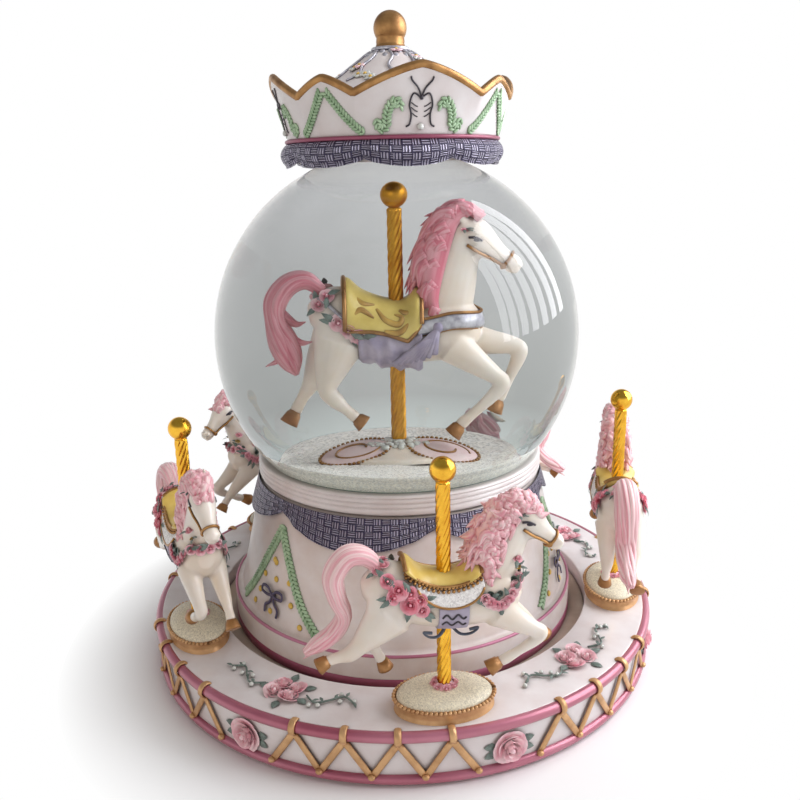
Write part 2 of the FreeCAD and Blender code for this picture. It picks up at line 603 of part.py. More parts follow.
def ring_parts():
    """Turning ring with its internal gear, lattice, plinths and roses."""
    bore = "deck_radius + bearing_gap"
    land = RING_ROOT + " + rim_width"
    shell = turned("ring_shell", [
        (bore, GEAR_TOP), (bore, RING_TOP), ("ring_radius", RING_TOP), ("ring_radius", "ring_ground_gap"),
        ("ring_radius - ring_wall", "ring_ground_gap"),
        ("ring_radius - ring_wall", RING_TOP + " - ring_wall"),
        (land, RING_TOP + " - ring_wall"), (land, GEAR_TOP)])
    rim = bead("ring_rim", "ring_radius - 0.6", "bead_radius", RING_TOP + " - bead_radius + 0.2")
    hem = bead("ring_hem", "ring_radius - 0.2", "foot_bead_radius", "ring_ground_gap + foot_bead_radius")
    circle = "(deck_radius + bearing_gap + %s) / 2" % land
    pilots = []
    holes = []
    screws = []
    for i in range(5):
        x, y = spot(circle, 72 * i + 36)
        pilots.append(cylinder("ring_pilot_%d" % i, "small_screw_radius", "3.0", x, y, GEAR_TOP))
        holes.append((size(x), size(y)))
        screws.append(screw("ring_screw_%d" % i, "small_screw_radius", "small_head_radius",
                            "small_head_height", "ring_gear_thickness + 1.6", x, y, GEAR_FOOT + " + 0.1",
                            z_down=False))
    less("horse_ring", joined("ring_blank", [shell, rim, hem]), pilots)
    together("ring_screws", screws)

    module = size("drive_module")
    pitch = size("ring_teeth * drive_module / 2")
    thick = size("ring_gear_thickness")
    slack = size("gear_backlash") * module / 2
    spaces = gear_face(size("ring_teeth"), module, pitch - 0.9 * module, size(RING_ROOT), slack, 180)
    gear = Part.makeCylinder(size(land), thick).cut(spaces.extrude(Z_AXIS * thick))
    for x, y in holes:
        drill = Part.makeCylinder(size("small_screw_radius"), thick, Vector(x, y, 0))
        sink = Part.makeCylinder(size("small_head_radius + 0.2"), size("small_head_height + 0.1"),
                                 Vector(x, y, 0))
        gear = gear.cut(drill.fuse(sink))
    ring_gear = feature("ring_gear", gear)
    ring_gear.Placement = FreeCAD.Placement(Vector(0, 0, size(GEAR_FOOT)), FreeCAD.Rotation())

    length, width = size("plinth_length"), size("plinth_width")
    rise, dome = size("plinth_height"), size("plinth_dome")
    stand = oval_stand(((length, width, 0), (length * 0.94, width * 0.9, rise * 0.3),
                        (length * 0.94, width * 0.9, rise * 0.7), (length, width, rise * 0.85),
                        (length, width, rise), (length * 0.92, width * 0.88, rise),
                        (length * 0.72, width * 0.68, rise + dome * 0.6),
                        (length * 0.36, width * 0.36, rise + dome)))
    stand = stand.cut(Part.makeCylinder(size("pole_radius + glue_gap"), rise + dome))
    horse = carousel_horse(OUTER_POSE, size("horse_length"), size("pole_radius + glue_gap"))
    pole = twisted_pole(size("pole_radius"), size(HORSE_HEIGHT + " - (%s) + pole_rise" % RING_TOP),
                        size("pole_ball_radius"), rise + dome)
    spray = rose_spray()
    count = int(size("horse_count"))
    stands = []
    sprays = []
    for i in range(count):
        degrees = size("first_horse_angle") + 360.0 * i / count
        upright = FreeCAD.Rotation(Z_AXIS, degrees)
        ahead = FreeCAD.Rotation(Z_AXIS, degrees + 90)
        spot_low = polar(size("horse_circle_radius"), degrees, size(RING_TOP))
        stands.append(stand.copy())
        stands[-1].Placement = FreeCAD.Placement(spot_low, upright)
        rod = feature("pole_%d" % (i + 1), pole.copy())
        rod.Placement = FreeCAD.Placement(spot_low, upright)
        rider = feature("horse_%d" % (i + 1), horse.copy())
        saddle = polar(size("horse_circle_radius"), degrees, size(HORSE_HEIGHT))
        rider.Placement = FreeCAD.Placement(saddle, ahead)
        midway = degrees + 180.0 / count
        sprays.append(spray.copy())
        sprays[-1].Placement = FreeCAD.Placement(
            polar(size("horse_circle_radius"), midway, size(RING_TOP)), FreeCAD.Rotation(Z_AXIS, midway))
    feature("horse_plinths", Part.makeCompound(stands))
    feature("rose_sprays", Part.makeCompound(sprays))

    doc.recompute()
    bay_straps = lattice_bay(doc.getObject("ring_blank").Shape)
    rose = rosette(size("rose_radius") * 1.45)
    rose.Placement = FreeCAD.Placement(
        Vector(size("ring_radius"), 0, size("ring_ground_gap + ring_height * 0.42")),
        FreeCAD.Rotation(Z_AXIS, X_AXIS))
    rose = rose.cut(doc.getObject("ring_blank").Shape).Solids[0]
    bays = int(size("side_rose_count"))
    side_roses = []
    trellis = []
    for b in range(bays):
        degrees = size("first_horse_angle") + 11.0 + 360.0 * b / bays
        for kept, pattern in ((side_roses, rose), (trellis, bay_straps)):
            kept.append(pattern.copy())
            kept[-1].rotate(Vector(), Z_AXIS, degrees)
    feature("side_roses", Part.makeCompound(side_roses))
    feature("lattice_straps", Part.makeCompound(trellis))


def rose_spray():
    """Four roses on a leaf-shaped pad, laid along the ring's top."""
    radius = size("rose_radius")
    pad = oval_stand(((9.0 * radius, 2.6 * radius, 0), (8.0 * radius, 2.0 * radius, 0.3 * radius)))
    pieces = []
    for k, share in enumerate((-1.5, -0.5, 0.5, 1.5)):
        rose = rosette(radius)
        rose.translate(Vector((0.35 if k % 2 else -0.35) * radius, share * 1.75 * radius, 0.15 * radius))
        pieces.append(rose)
    return pad.multiFuse(pieces).Solids[0]


def inner_parts():
    """Horse, pole and scrolled stand inside the globe."""
    length, width = size("inner_plinth_length"), size("inner_plinth_width")
    rise = size("inner_plinth_height")
    stand = oval_stand(((length * 0.9, width * 0.9, 0), (length, width, rise * 0.2),
                        (length * 0.86, width * 0.84, rise * 0.42),
                        (length * 0.62, width * 0.66, rise * 0.5), (length * 0.5, width * 0.56, rise * 0.85),
                        (length * 0.3, width * 0.4, rise)))
    stand = stand.cut(Part.makeCylinder(size("inner_pole_radius + glue_gap"), rise))
    floor = Vector(0, 0, size(SNOW_TOP))
    facing = FreeCAD.Rotation(Z_AXIS, 90)
    feature("inner_plinth", stand).Placement = FreeCAD.Placement(floor, facing)
    tall = size(INNER_HEIGHT + " - (%s) + inner_pole_rise" % SNOW_TOP)
    pole = twisted_pole(size("inner_pole_radius"), tall, size("inner_ball_radius"), rise)
    feature("inner_pole", pole).Placement = FreeCAD.Placement(floor, FreeCAD.Rotation())
    horse = carousel_horse(INNER_POSE, size("inner_horse_length"), size("inner_pole_radius + glue_gap"))
    saddle = Vector(0, 0, size(INNER_HEIGHT))
    feature("inner_horse", horse).Placement = FreeCAD.Placement(saddle, FreeCAD.Rotation())


def crown_rise(degrees):
    """Height of the crown's rim above its valleys: wide and narrow pointed scallops by turns."""
    turn = (degrees - size("first_scallop_angle") + 30) % 90
    if turn < 60:
        return size("wide_scallop_rise") * (1 - abs(turn / 30 - 1) ** 1.3)
    return size("narrow_scallop_rise") * (1 - abs((turn - 60) / 15 - 1) ** 1.3)


def crown_parts():
    """Seat on the globe, drape, scalloped band, roof and finial."""
    roof_foot = BAND_FOOT + " + crown_band_height * 0.86"
    pad = cylinder("seat_pad", "crown_foot_radius - crown_wall - 0.1",
                   "%s - (%s) + seat_depth" % (roof_foot, BAND_FOOT), z=BAND_FOOT + " - seat_depth")
    less("crown_seat", pad, [ball("seat_hollow", "globe_radius + 0.02", GLOBE_CENTRE)])
    foot = size(BAND_FOOT)
    valley = size(VALLEY)
    low, high = size("crown_foot_radius"), size("crown_rim_radius")
    wall = size("crown_wall")

    def band_section(degrees):
        top = valley + crown_rise(degrees)
        return ((low - wall, foot), (low, foot), (low + 0.5 * (high - low), foot + 0.6 * (valley - foot)),
                (high, top - 1.0), (high + 0.6, top), (high - wall, top),
                (low - wall + 0.4 * (high - low), foot + 0.6 * (valley - foot)))

    feature("crown_band", ring_of_sections(72, band_section))
    bay = 360.0 / size("crown_swag_count")

    def swag_section(degrees):
        hang = scallop(degrees, size("first_crown_swag_angle"), bay)
        drop = size("crown_drape_drop") + size("crown_swag_rise") * hang
        swell = size("crown_drape_bulge") * (0.55 + 0.45 * hang)
        return ((low - 0.4, foot), (low - 0.2, foot - drop + 0.9), (low + 0.4 * swell, foot - drop),
                (low + 0.9 * swell, foot - drop + 0.6), (low + swell, foot - 0.55 * drop),
                (low + 0.7 * swell, foot - 0.2 * drop), (low + 0.2, foot))

    feature("crown_drape", ring_of_sections(9 * int(size("crown_swag_count")), swag_section))
    eave = "crown_rim_radius - 2.2 * crown_wall"
    turned("crown_roof", [
        ("0", roof_foot), ("crown_foot_radius - crown_wall", roof_foot), (eave, VALLEY + " - 1.0"),
        (eave, VALLEY + " - 0.6"),
        ("(crown_rim_radius + roof_knee_radius) / 2 - 2", VALLEY + " + roof_rise * 0.14"),
        ("roof_knee_radius + 3.6", VALLEY + " + roof_rise * 0.26"),
        ("roof_knee_radius", VALLEY + " + roof_rise * 0.44"),
        ("(roof_knee_radius + roof_neck_radius) / 2", VALLEY + " + roof_rise * 0.72"),
        ("roof_neck_radius", ROOF_TOP), ("0", ROOF_TOP)])
    neck = turned("finial_neck", [
        ("0", ROOF_TOP), ("finial_neck_radius + 0.6", ROOF_TOP),
        ("finial_neck_radius + 0.6", ROOF_TOP + " + 0.7"),
        ("finial_neck_radius * 0.9", ROOF_TOP + " + 1.1"),
        ("finial_neck_radius", ROOF_TOP + " + finial_neck_height"),
        ("0", ROOF_TOP + " + finial_neck_height")])
    knob = ball("finial_ball", "finial_radius", ROOF_TOP + " + finial_neck_height + finial_radius * 0.72")
    joined("finial", [neck, knob])


def spiral_spring(inner, outer, turns, thick, height):
    """Flat mainspring wound from the arbor out to the barrel's wall."""
    edges = []
    for offset in (0.0, thick):
        points = []
        for i in range(int(turns * 16) + 1):
            share = i / (turns * 16)
            points.append(polar(inner + offset + (outer - inner - thick) * share, 360 * turns * share))
        curve = Part.BSplineCurve()
        curve.interpolate(points)
        edges.append(curve.toShape())
    caps = [Part.makeLine(edges[0].Vertexes[k].Point, edges[1].Vertexes[k].Point) for k in (0, -1)]
    face = Part.Face(Part.Wire(Part.sortEdges([edges[0], caps[1], edges[1], caps[0]])[0]))
    return face.extrude(Z_AXIS * height)


def set_at(thing, x, y, z, turn=None):
    thing.Placement = FreeCAD.Placement(Vector(size(x), size(y), size(z)), turn or FreeCAD.Rotation())
    return thing


def winding_parts():
    """Key, arbor, barrel with its spring, great wheel and the crown-toothed cover."""
    low = "foot_height + step_floor"
    hub = cylinder("key_hub", "arbor_radius + 1.2", "%s - 1.0 - (%s)" % (DECK_TOP, low), KEY_X, "0", low)
    wings = []
    for side in (-1, 1):
        wing = cylinder("key_wing_%d" % (side + 1), "key_height / 2", "key_thickness")
        wing.Placement = FreeCAD.Placement(Vector(), FreeCAD.Rotation(X_AXIS, 90))
        place(wing, "%s + %d * (key_width - key_height) / 2" % (KEY_X, side), "key_thickness / 2",
              low + " + key_height / 2")
        wings.append(wing)
    blade = block("key_blade", "key_width - key_height", "key_thickness", "key_height * 0.6",
                  KEY_X + " - (key_width - key_height) / 2", "-key_thickness / 2",
                  low + " + key_height * 0.2")
    foot = low + " + key_thickness"
    bore = cylinder("key_bore", "arbor_radius + glue_gap", DECK_TOP, KEY_X, "0", foot)
    less("winding_key", joined("key_blank", [hub, blade] + wings), [bore])
    cylinder("winding_arbor", "arbor_radius", "%s - (%s)" % (BARREL_TOP, foot), KEY_X, "0", foot)

    module = size("train_module")
    bore_radius = size("arbor_radius + glue_gap")
    wheel = spur_gear(size("great_wheel_teeth"), module, size("wheel_thickness"), bore_radius, 180)
    set_at(feature("great_wheel", wheel), KEY_X, "0", WHEEL_FOOT)
    cup = cylinder("barrel_cup", "barrel_radius", "barrel_height", KEY_X, "0", BARREL_FOOT)
    room = cylinder("barrel_room", "barrel_radius - barrel_wall", "barrel_height",
                    KEY_X, "0", BARREL_FOOT + " + barrel_wall")
    eye = cylinder("barrel_eye", "arbor_radius + glue_gap", "barrel_height", KEY_X, "0", BARREL_FOOT)
    less("spring_barrel", cup, [room, eye])
    spring = spiral_spring(size("arbor_radius + 0.1"), size("barrel_radius - barrel_wall - 0.1"), 6, 0.5,
                           size("barrel_height - 2 * barrel_wall - 0.4"))
    set_at(feature("mainspring", spring), KEY_X, "0", BARREL_FOOT + " + barrel_wall + 0.2")

    disc = Part.makeCylinder(size("barrel_radius"), size("barrel_wall"))
    teeth = []
    count = int(size("crown_teeth"))
    pitch = count * module / 2
    half_width = size("crown_tooth_width") / 2
    half_thick = module * (math.pi / 4 - size("gear_backlash") * 0.8)
    slope = math.tan(math.radians(20))
    for i in range(count):
        turn = FreeCAD.Rotation(Z_AXIS, 360.0 * i / count)
        wires = []
        for z in (-1.3 * module, 0.7 * module):
            half = half_thick - slope * z
            corners = [Vector(pitch - half_width, -half, z), Vector(pitch + half_width, -half, z),
                       Vector(pitch + half_width, half, z), Vector(pitch - half_width, half, z)]
            wires.append(Part.makePolygon(corners + corners[:1]))
        tooth = Part.makeLoft(wires, True, True)
        tooth.Placement = FreeCAD.Placement(Vector(0, 0, size("barrel_wall") + 1.1 * module), turn)
        teeth.append(tooth)
    set_at(feature("barrel_cover", disc.multiFuse(teeth).Solids[0]), KEY_X, "0", BARREL_TOP)


def lay_parts():
    """Upright shaft that carries the drive down through the deck to the ring gear."""
    foot = "foot_height + step_floor + axial_gap"
    top = BARREL_FOOT + " + 1.5"
    cylinder("lay_shaft", "shaft_radius", "%s - (%s)" % (top, foot), LAY_X, "0", foot)
    bore = size("shaft_radius + glue_gap")
    gear = spur_gear(size("lay_teeth"), size("drive_module"), size("ring_gear_thickness - 0.4"), bore, 180)
    set_at(feature("lay_gear", gear), LAY_X, "0", GEAR_FOOT + " + 0.2")
    teeth = size("lay_pinion_teeth")
    pinion = spur_gear(teeth, size("train_module"), size("wheel_thickness + 1.0"), bore, 180.0 / teeth)
    set_at(feature("lay_pinion", pinion), LAY_X, "0", WHEEL_FOOT + " - 0.5")


def cylinder_parts():
    """Pinned cylinder on its arbor, with the crown pinion and the wheel that drives the governor."""
    rod = "axle_radius"
    start = MESH_X + " - crown_tooth_width / 2 - lift"
    end = WORM_WHEEL_X + " + wheel_thickness + bracket_thickness + lift"
    rod_along_x("cylinder_arbor", rod, "%s - (%s)" % (end, start), start, "0", CYLINDER_HEIGHT)
    axle = size(rod) + size("glue_gap")
    along = FreeCAD.Rotation(Vector(0, 1, 0), 90)
    teeth = size("crown_pinion_teeth")
    pinion = spur_gear(teeth, size("train_module"), size("crown_tooth_width"), axle, 180.0 / teeth)
    set_at(feature("crown_pinion", pinion), MESH_X + " - crown_tooth_width / 2", "0", CYLINDER_HEIGHT, along)
    teeth = size("worm_wheel_teeth")
    wheel = spur_gear(teeth, size("worm_module"), size("wheel_thickness / 2"), axle, 90 + 180.0 / teeth)
    set_at(feature("worm_wheel", wheel), WORM_WHEEL_X, "0", CYLINDER_HEIGHT, along)

    radius, length, wall = size("cylinder_radius"), size("cylinder_length"), size("cylinder_wall")
    sleeve = Part.makeCylinder(radius, length)
    hollow = Part.makeCylinder(radius - wall, length - 2 * wall, Vector(0, 0, wall))
    sleeve = sleeve.cut(hollow).cut(Part.makeCylinder(axle, length))
    pins = []
    tracks = int(size("comb_teeth"))
    for track in range(tracks):
        z = length * (track + 1) / (tracks + 1)
        for beat in range(2):
            turn = polar(1, 137.5 * track + (70 + 11 * track) * beat)
            root = turn * (radius - 0.4) + Z_AXIS * z
            pins.append(Part.makeCylinder(size("pin_radius"), size("pin_length") + 0.4, root, turn))
    studded = sleeve.multiFuse(pins).Solids[0]
    set_at(feature("pin_cylinder", studded), CYLINDER_X, "0", CYLINDER_HEIGHT, along)


def governor_parts():
    """Worm with its air-brake fan on an upright spindle."""
    pitch = math.pi * size("worm_module")
    core = size("worm_radius") - 0.9 * size("worm_module")
    tip = size("worm_radius") + 0.7 * size("worm_module")
    turns = 4
    helix = Part.makeHelix(pitch, pitch * turns, core)
    half = pitch * 0.25 - size("gear_backlash") * size("worm_module") * 1.35
    slope = math.tan(math.radians(20)) * (tip - core) / 2
    section = [Vector(core - 0.2, 0, -half - slope), Vector(tip, 0, -half + slope),
               Vector(tip, 0, half - slope), Vector(core - 0.2, 0, half + slope)]
    thread = Part.Wire(helix.Edges).makePipeShell([Part.makePolygon(section + section[:1])], True, True)
    thread.rotate(Vector(), Z_AXIS, -90)
    thread.translate(Vector(0, 0, -pitch * turns / 2))
    low = size("%s - (%s)" % (CYLINDER_HEIGHT, BED_TOP)) - 0.6
    high = size("fan_height + fan_lift + 2")
    body = Part.makeCylinder(core, pitch * (turns + 1), Vector(0, 0, -pitch * (turns + 1) / 2))
    spindle = Part.makeCylinder(size("spindle_radius"), low * 0.55 + high, Vector(0, 0, -low * 0.55))
    worm = body.multiFuse([spindle, thread]).Solids[0]
    x = WORM_WHEEL_X + " + wheel_thickness / 4"
    set_at(feature("governor_worm", worm), x, WORM_Y, CYLINDER_HEIGHT)
    fan_foot = CYLINDER_HEIGHT + " + fan_lift"
    fan = block("fan_vanes", "2 * fan_radius", "fan_thickness", "fan_height",
                x + " - fan_radius", WORM_Y + " - fan_thickness / 2", fan_foot)
    hub = cylinder("fan_hub", "fan_hub_radius", "fan_height * 0.6", x, WORM_Y, fan_foot)
    eye = cylinder("fan_eye", "spindle_radius + glue_gap", "fan_height", x, WORM_Y, fan_foot)
    less("governor_fan", joined("fan_blank", [fan, hub]), [eye])

    column_x = x + " - fan_radius - 3.6"
    column = block("governor_column", "2.4", "3.0", "%s + fan_height + 2.5 - (%s)" % (fan_foot, BED_TOP),
                   column_x, WORM_Y + " - 1.5", BED_TOP)
    arms = []
    bores = []
    for k, z in enumerate((CYLINDER_HEIGHT + " - 10.5", fan_foot + " + fan_height + 1.0")):
        arms.append(block("governor_arm_%d" % k, "fan_radius + 5.6", "3.0", "1.5",
                          column_x, WORM_Y + " - 1.5", z))
        bores.append(cylinder("governor_bore_%d" % k, "spindle_radius + shaft_fit", "1.5", x, WORM_Y, z))
    less("governor_bracket", joined("governor_blank", [column] + arms), bores)


def bed_parts():
    """Bedplate on its feet, cylinder frame, comb and their screws."""
    left, right, half = "well_radius + 16", "bed_front", "bed_half_width"
    plate = block("bed_sheet", "%s + %s" % (left, right), "2 * " + half, "bedplate_thickness",
                  "-(%s)" % left, "-" + half, BED_FOOT)
    feet = []
    drills = [cylinder("bed_eye", "arbor_radius + shaft_fit", BED_TOP, KEY_X)]
    screws = []
    corners = [(x, y) for x in ("-(%s) + 4" % left, right + " - 4")
               for y in ("-%s + 4" % half, half + " - 4")]
    for i, (x, y) in enumerate(corners):
        feet.append(cylinder("bed_foot_%d" % i, "screw_radius + 1.6", "%s - (%s)" % (BED_FOOT, DECK_TOP),
                             x, y, DECK_TOP))
        drills.append(cylinder("bed_hole_%d" % i, "screw_radius + shaft_fit", BED_TOP, x, y))
        screws.append(screw("bed_screw_%d" % i, "screw_radius", "screw_head_radius", "screw_head_height",
                            "%s - (%s)" % (BED_TOP, DECK_TOP), x, y, BED_TOP + " + screw_head_height"))
    less("bedplate", joined("bed_blank", [plate] + feet), drills)
    together("bedplate_screws", screws)

    near = CYLINDER_X + " - lift - bracket_thickness"
    far = WORM_WHEEL_X + " + wheel_thickness / 2 + lift"
    beam_foot = BARREL_FOOT + " + lift"
    rise = "%s + 3.0 - (%s)" % (CYLINDER_HEIGHT, beam_foot)
    side = "-frame_width / 2"
    uprights = [block("frame_near", "bracket_thickness", "frame_width", rise, near, side, beam_foot),
                block("frame_far", "bracket_thickness", "frame_width", rise, far, side, beam_foot)]
    span = "%s + bracket_thickness - (%s)" % (far, near)
    beam = block("frame_beam", span, "frame_width", "beam_thickness", near, side, beam_foot)
    great = KEY_X + " + great_wheel_teeth * train_module / 2 + 2 * train_module"
    stump = block("frame_stump", "%s + bracket_thickness - (%s)" % (far, great), "1.5 * frame_width",
                  "%s + beam_thickness - (%s)" % (beam_foot, BED_TOP), great, "-0.75 * frame_width", BED_TOP)
    bore = rod_along_x("frame_bore", "axle_radius + shaft_fit", span, near, "0", CYLINDER_HEIGHT)
    less("cylinder_bracket", joined("frame_blank", uprights + [beam, stump]), [bore])

    deep = "comb_depth"
    tip = "cylinder_radius + comb_gap"
    comb_foot = CYLINDER_HEIGHT + " - comb_thickness"
    plate = block("comb_plate", "cylinder_length", deep, "comb_thickness",
                  CYLINDER_X, "-(%s + %s)" % (tip, deep), comb_foot)
    slots = []
    count = int(size("comb_teeth"))
    for k in range(1, count):
        x = "%s + cylinder_length * %d / comb_teeth - comb_slot / 2" % (CYLINDER_X, k)
        slots.append(block("comb_gap_%d" % k, "comb_slot", "comb_depth * 0.62", "comb_thickness",
                           x, "-(%s + comb_depth * 0.62)" % tip, comb_foot))
    seat_x = CYLINDER_X + " + cylinder_length * 0.42"
    seat_y = "-(%s + comb_depth)" % tip
    pad = block("comb_bed", "cylinder_length * 0.46", "comb_depth * 0.34",
                "%s - (%s)" % (comb_foot, BED_TOP), seat_x, seat_y, BED_TOP)
    screws = []
    drills = []
    pilots = []
    for k, share in enumerate((0.5, 0.8)):
        x = CYLINDER_X + " + cylinder_length * %s" % share
        y = "-(%s + comb_depth * 0.83)" % tip
        screws.append(screw("comb_screw_%d" % k, "small_screw_radius", "small_head_radius",
                            "small_head_height", "comb_thickness + 4",
                            x, y, CYLINDER_HEIGHT + " + small_head_height"))
        drills.append(cylinder("comb_hole_%d" % k, "small_screw_radius + glue_gap", "comb_thickness",
                               x, y, comb_foot))
        pilots.append(cylinder("comb_pilot_%d" % k, "small_screw_radius", "4.4", x, y, comb_foot + " - 4.4"))
    less("comb", plate, slots + drills)
    less("comb_base", pad, pilots)
    together("comb_screws", screws)


NODES = """base_pan chassis_screws rubber_feet glide_pads deck_plate slip_ring rim_screws drum_body
drum_drape globe_collar glass_globe globe_stopper snow_floor inner_plinth inner_pole inner_horse
crown_seat crown_band crown_drape crown_roof finial horse_ring ring_gear ring_screws horse_plinths
rose_sprays side_roses lattice_straps winding_key winding_arbor great_wheel spring_barrel mainspring
barrel_cover lay_shaft lay_gear lay_pinion cylinder_arbor crown_pinion worm_wheel pin_cylinder
governor_worm governor_fan governor_bracket bedplate bedplate_screws cylinder_bracket comb comb_base
comb_screws""".split()
NODES += ["%s_%d" % (kind, i + 1) for kind in ("horse", "pole") for i in range(int(size("horse_count")))]

for build in (base_parts, drum_parts, globe_parts, inner_parts, crown_parts, ring_parts,
              winding_parts, lay_parts, cylinder_parts, governor_parts, bed_parts):
    build()
doc.recompute()

for thing in doc.Objects:
    if "Invalid" in thing.State or "Error" in thing.State:
        raise RuntimeError("%s did not recompute" % thing.Name)
os.makedirs("parts", exist_ok=True)
for name in NODES:
    thing = doc.getObject(name)
    thing.Label = name
    if thing.Shape.isNull() or not thing.Shape.isValid():
        raise RuntimeError("%s has no valid shape" % name)
    thing.Shape.exportStep("parts/%s.step" % thing.Label)
    print(name, len(thing.Shape.Solids), round(thing.Shape.Volume, 1))
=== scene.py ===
"""Looks of a carousel music box: a water globe on a drum, ringed by five carousel horses.

Sizes are in millimetres in the CAD part's frame and are scaled to metres when a mesh is made.
Angles round the drum are in degrees from the camera side (-Y) towards +X.
"""

import logging
import math
from dataclasses import dataclass, field
from enum import Enum
from typing import Callable, Iterable, Optional, Sequence, Union

import bpy
import numpy as np
from mathutils import Matrix, Vector


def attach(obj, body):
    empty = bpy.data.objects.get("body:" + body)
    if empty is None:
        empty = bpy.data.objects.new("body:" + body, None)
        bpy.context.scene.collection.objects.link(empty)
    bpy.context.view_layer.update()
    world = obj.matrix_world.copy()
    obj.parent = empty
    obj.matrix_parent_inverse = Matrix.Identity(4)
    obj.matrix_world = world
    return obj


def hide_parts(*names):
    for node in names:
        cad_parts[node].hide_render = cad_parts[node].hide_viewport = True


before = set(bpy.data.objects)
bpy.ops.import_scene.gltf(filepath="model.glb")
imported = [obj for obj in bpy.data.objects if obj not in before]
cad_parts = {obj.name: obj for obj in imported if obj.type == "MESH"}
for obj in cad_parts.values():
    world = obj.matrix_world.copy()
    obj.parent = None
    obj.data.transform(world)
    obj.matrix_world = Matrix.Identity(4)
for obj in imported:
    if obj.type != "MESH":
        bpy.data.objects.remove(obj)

LOG = logging.getLogger("carousel")
MM = 0.001
SEED = 7
UP = (0.0, 0.0, 1.0)
LEVEL = np.array([1.0, 1.0, 0.0])
Colour = tuple[float, float, float]
Feed = Union[bpy.types.NodeSocket, float, tuple[float, ...]]
Links = dict[Union[int, str], Feed]


class Body(Enum):
    """CAD bodies that pieces ride on."""

    BASE = "base"
    RING = "horse_carousel"


class Pattern(Enum):
    """Surface pattern of a finish."""

    MOTTLED = "mottled"
    AGED = "aged"
    GLITTER = "glitter"
    WEAVE = "weave"
    STRANDS = "strands"
    BRUSHED = "brushed"
    PETALS = "petals"


def smooth_curve(points: Sequence[Sequence[float]], steps: int) -> np.ndarray:
    """Catmull-Rom curve through points of any width.

    Args:
        points: Points that the curve passes through.
        steps: Samples per span.

    Returns:
        Array of samples, ending on the last point.
    """
    p = np.asarray(points, float)
    ends = np.vstack([2 * p[0] - p[1], p, 2 * p[-1] - p[-2]])
    out = []
    for i in range(len(p) - 1):
        a, b, c, d = ends[i:i + 4]
        for t in np.linspace(0, 1, steps, endpoint=False):
            cubic = (3 * b - a - 3 * c + d) * t ** 3
            out.append(0.5 * (2 * b + (c - a) * t + (2 * a - 5 * b + 4 * c - d) * t * t + cubic))
    out.append(p[-1])
    return np.array(out)


def round_point(radius: float, degrees: float, z: float) -> np.ndarray:
    """Point at a radius and height, at an angle from the camera side towards +X."""
    turn = math.radians(degrees)
    return np.array([radius * math.sin(turn), -radius * math.cos(turn), z])


def full_turn(steps: int) -> np.ndarray:
    """Even angles round a full turn, in radians."""
    return np.linspace(0, 2 * math.pi, steps, endpoint=False)


def unit(vector: np.ndarray) -> np.ndarray:
    """Vector of length one."""
    return vector / max(float(np.linalg.norm(vector)), 1e-9)


def facing(at: Sequence[float], normal: Sequence[float] = UP, spin: float = 0.0,
           size: float = 1.0) -> np.ndarray:
    """Placement that lays a shape's +Z along a normal.

    Args:
        at: Where the shape's origin goes.
        normal: Direction for the shape's +Z.
        spin: Turn about the normal, in degrees.
        size: Scale.

    Returns:
        A 4x4 matrix.
    """
    turn = Vector(normal).to_track_quat("Z", "Y").to_matrix().to_4x4()
    spun = turn @ Matrix.Rotation(math.radians(spin), 4, "Z") @ Matrix.Scale(size, 4)
    return np.array(Matrix.Translation(Vector(at)) @ spun)


def lying(at: Sequence[float], normal: Sequence[float], along: Sequence[float]) -> np.ndarray:
    """Placement that lays a shape along two directions.

    Args:
        at: Where the shape's origin goes.
        normal: Direction for the shape's +Z.
        along: Direction for its +X, as near as can be.

    Returns:
        A 4x4 matrix.
    """
    up = unit(np.asarray(normal, float))
    ahead = np.asarray(along, float)
    place = np.eye(4)
    place[:3, 0] = unit(ahead - up * np.dot(ahead, up))
    place[:3, 1] = np.cross(up, place[:3, 0])
    place[:3, 2] = up
    place[:3, 3] = at
    return place


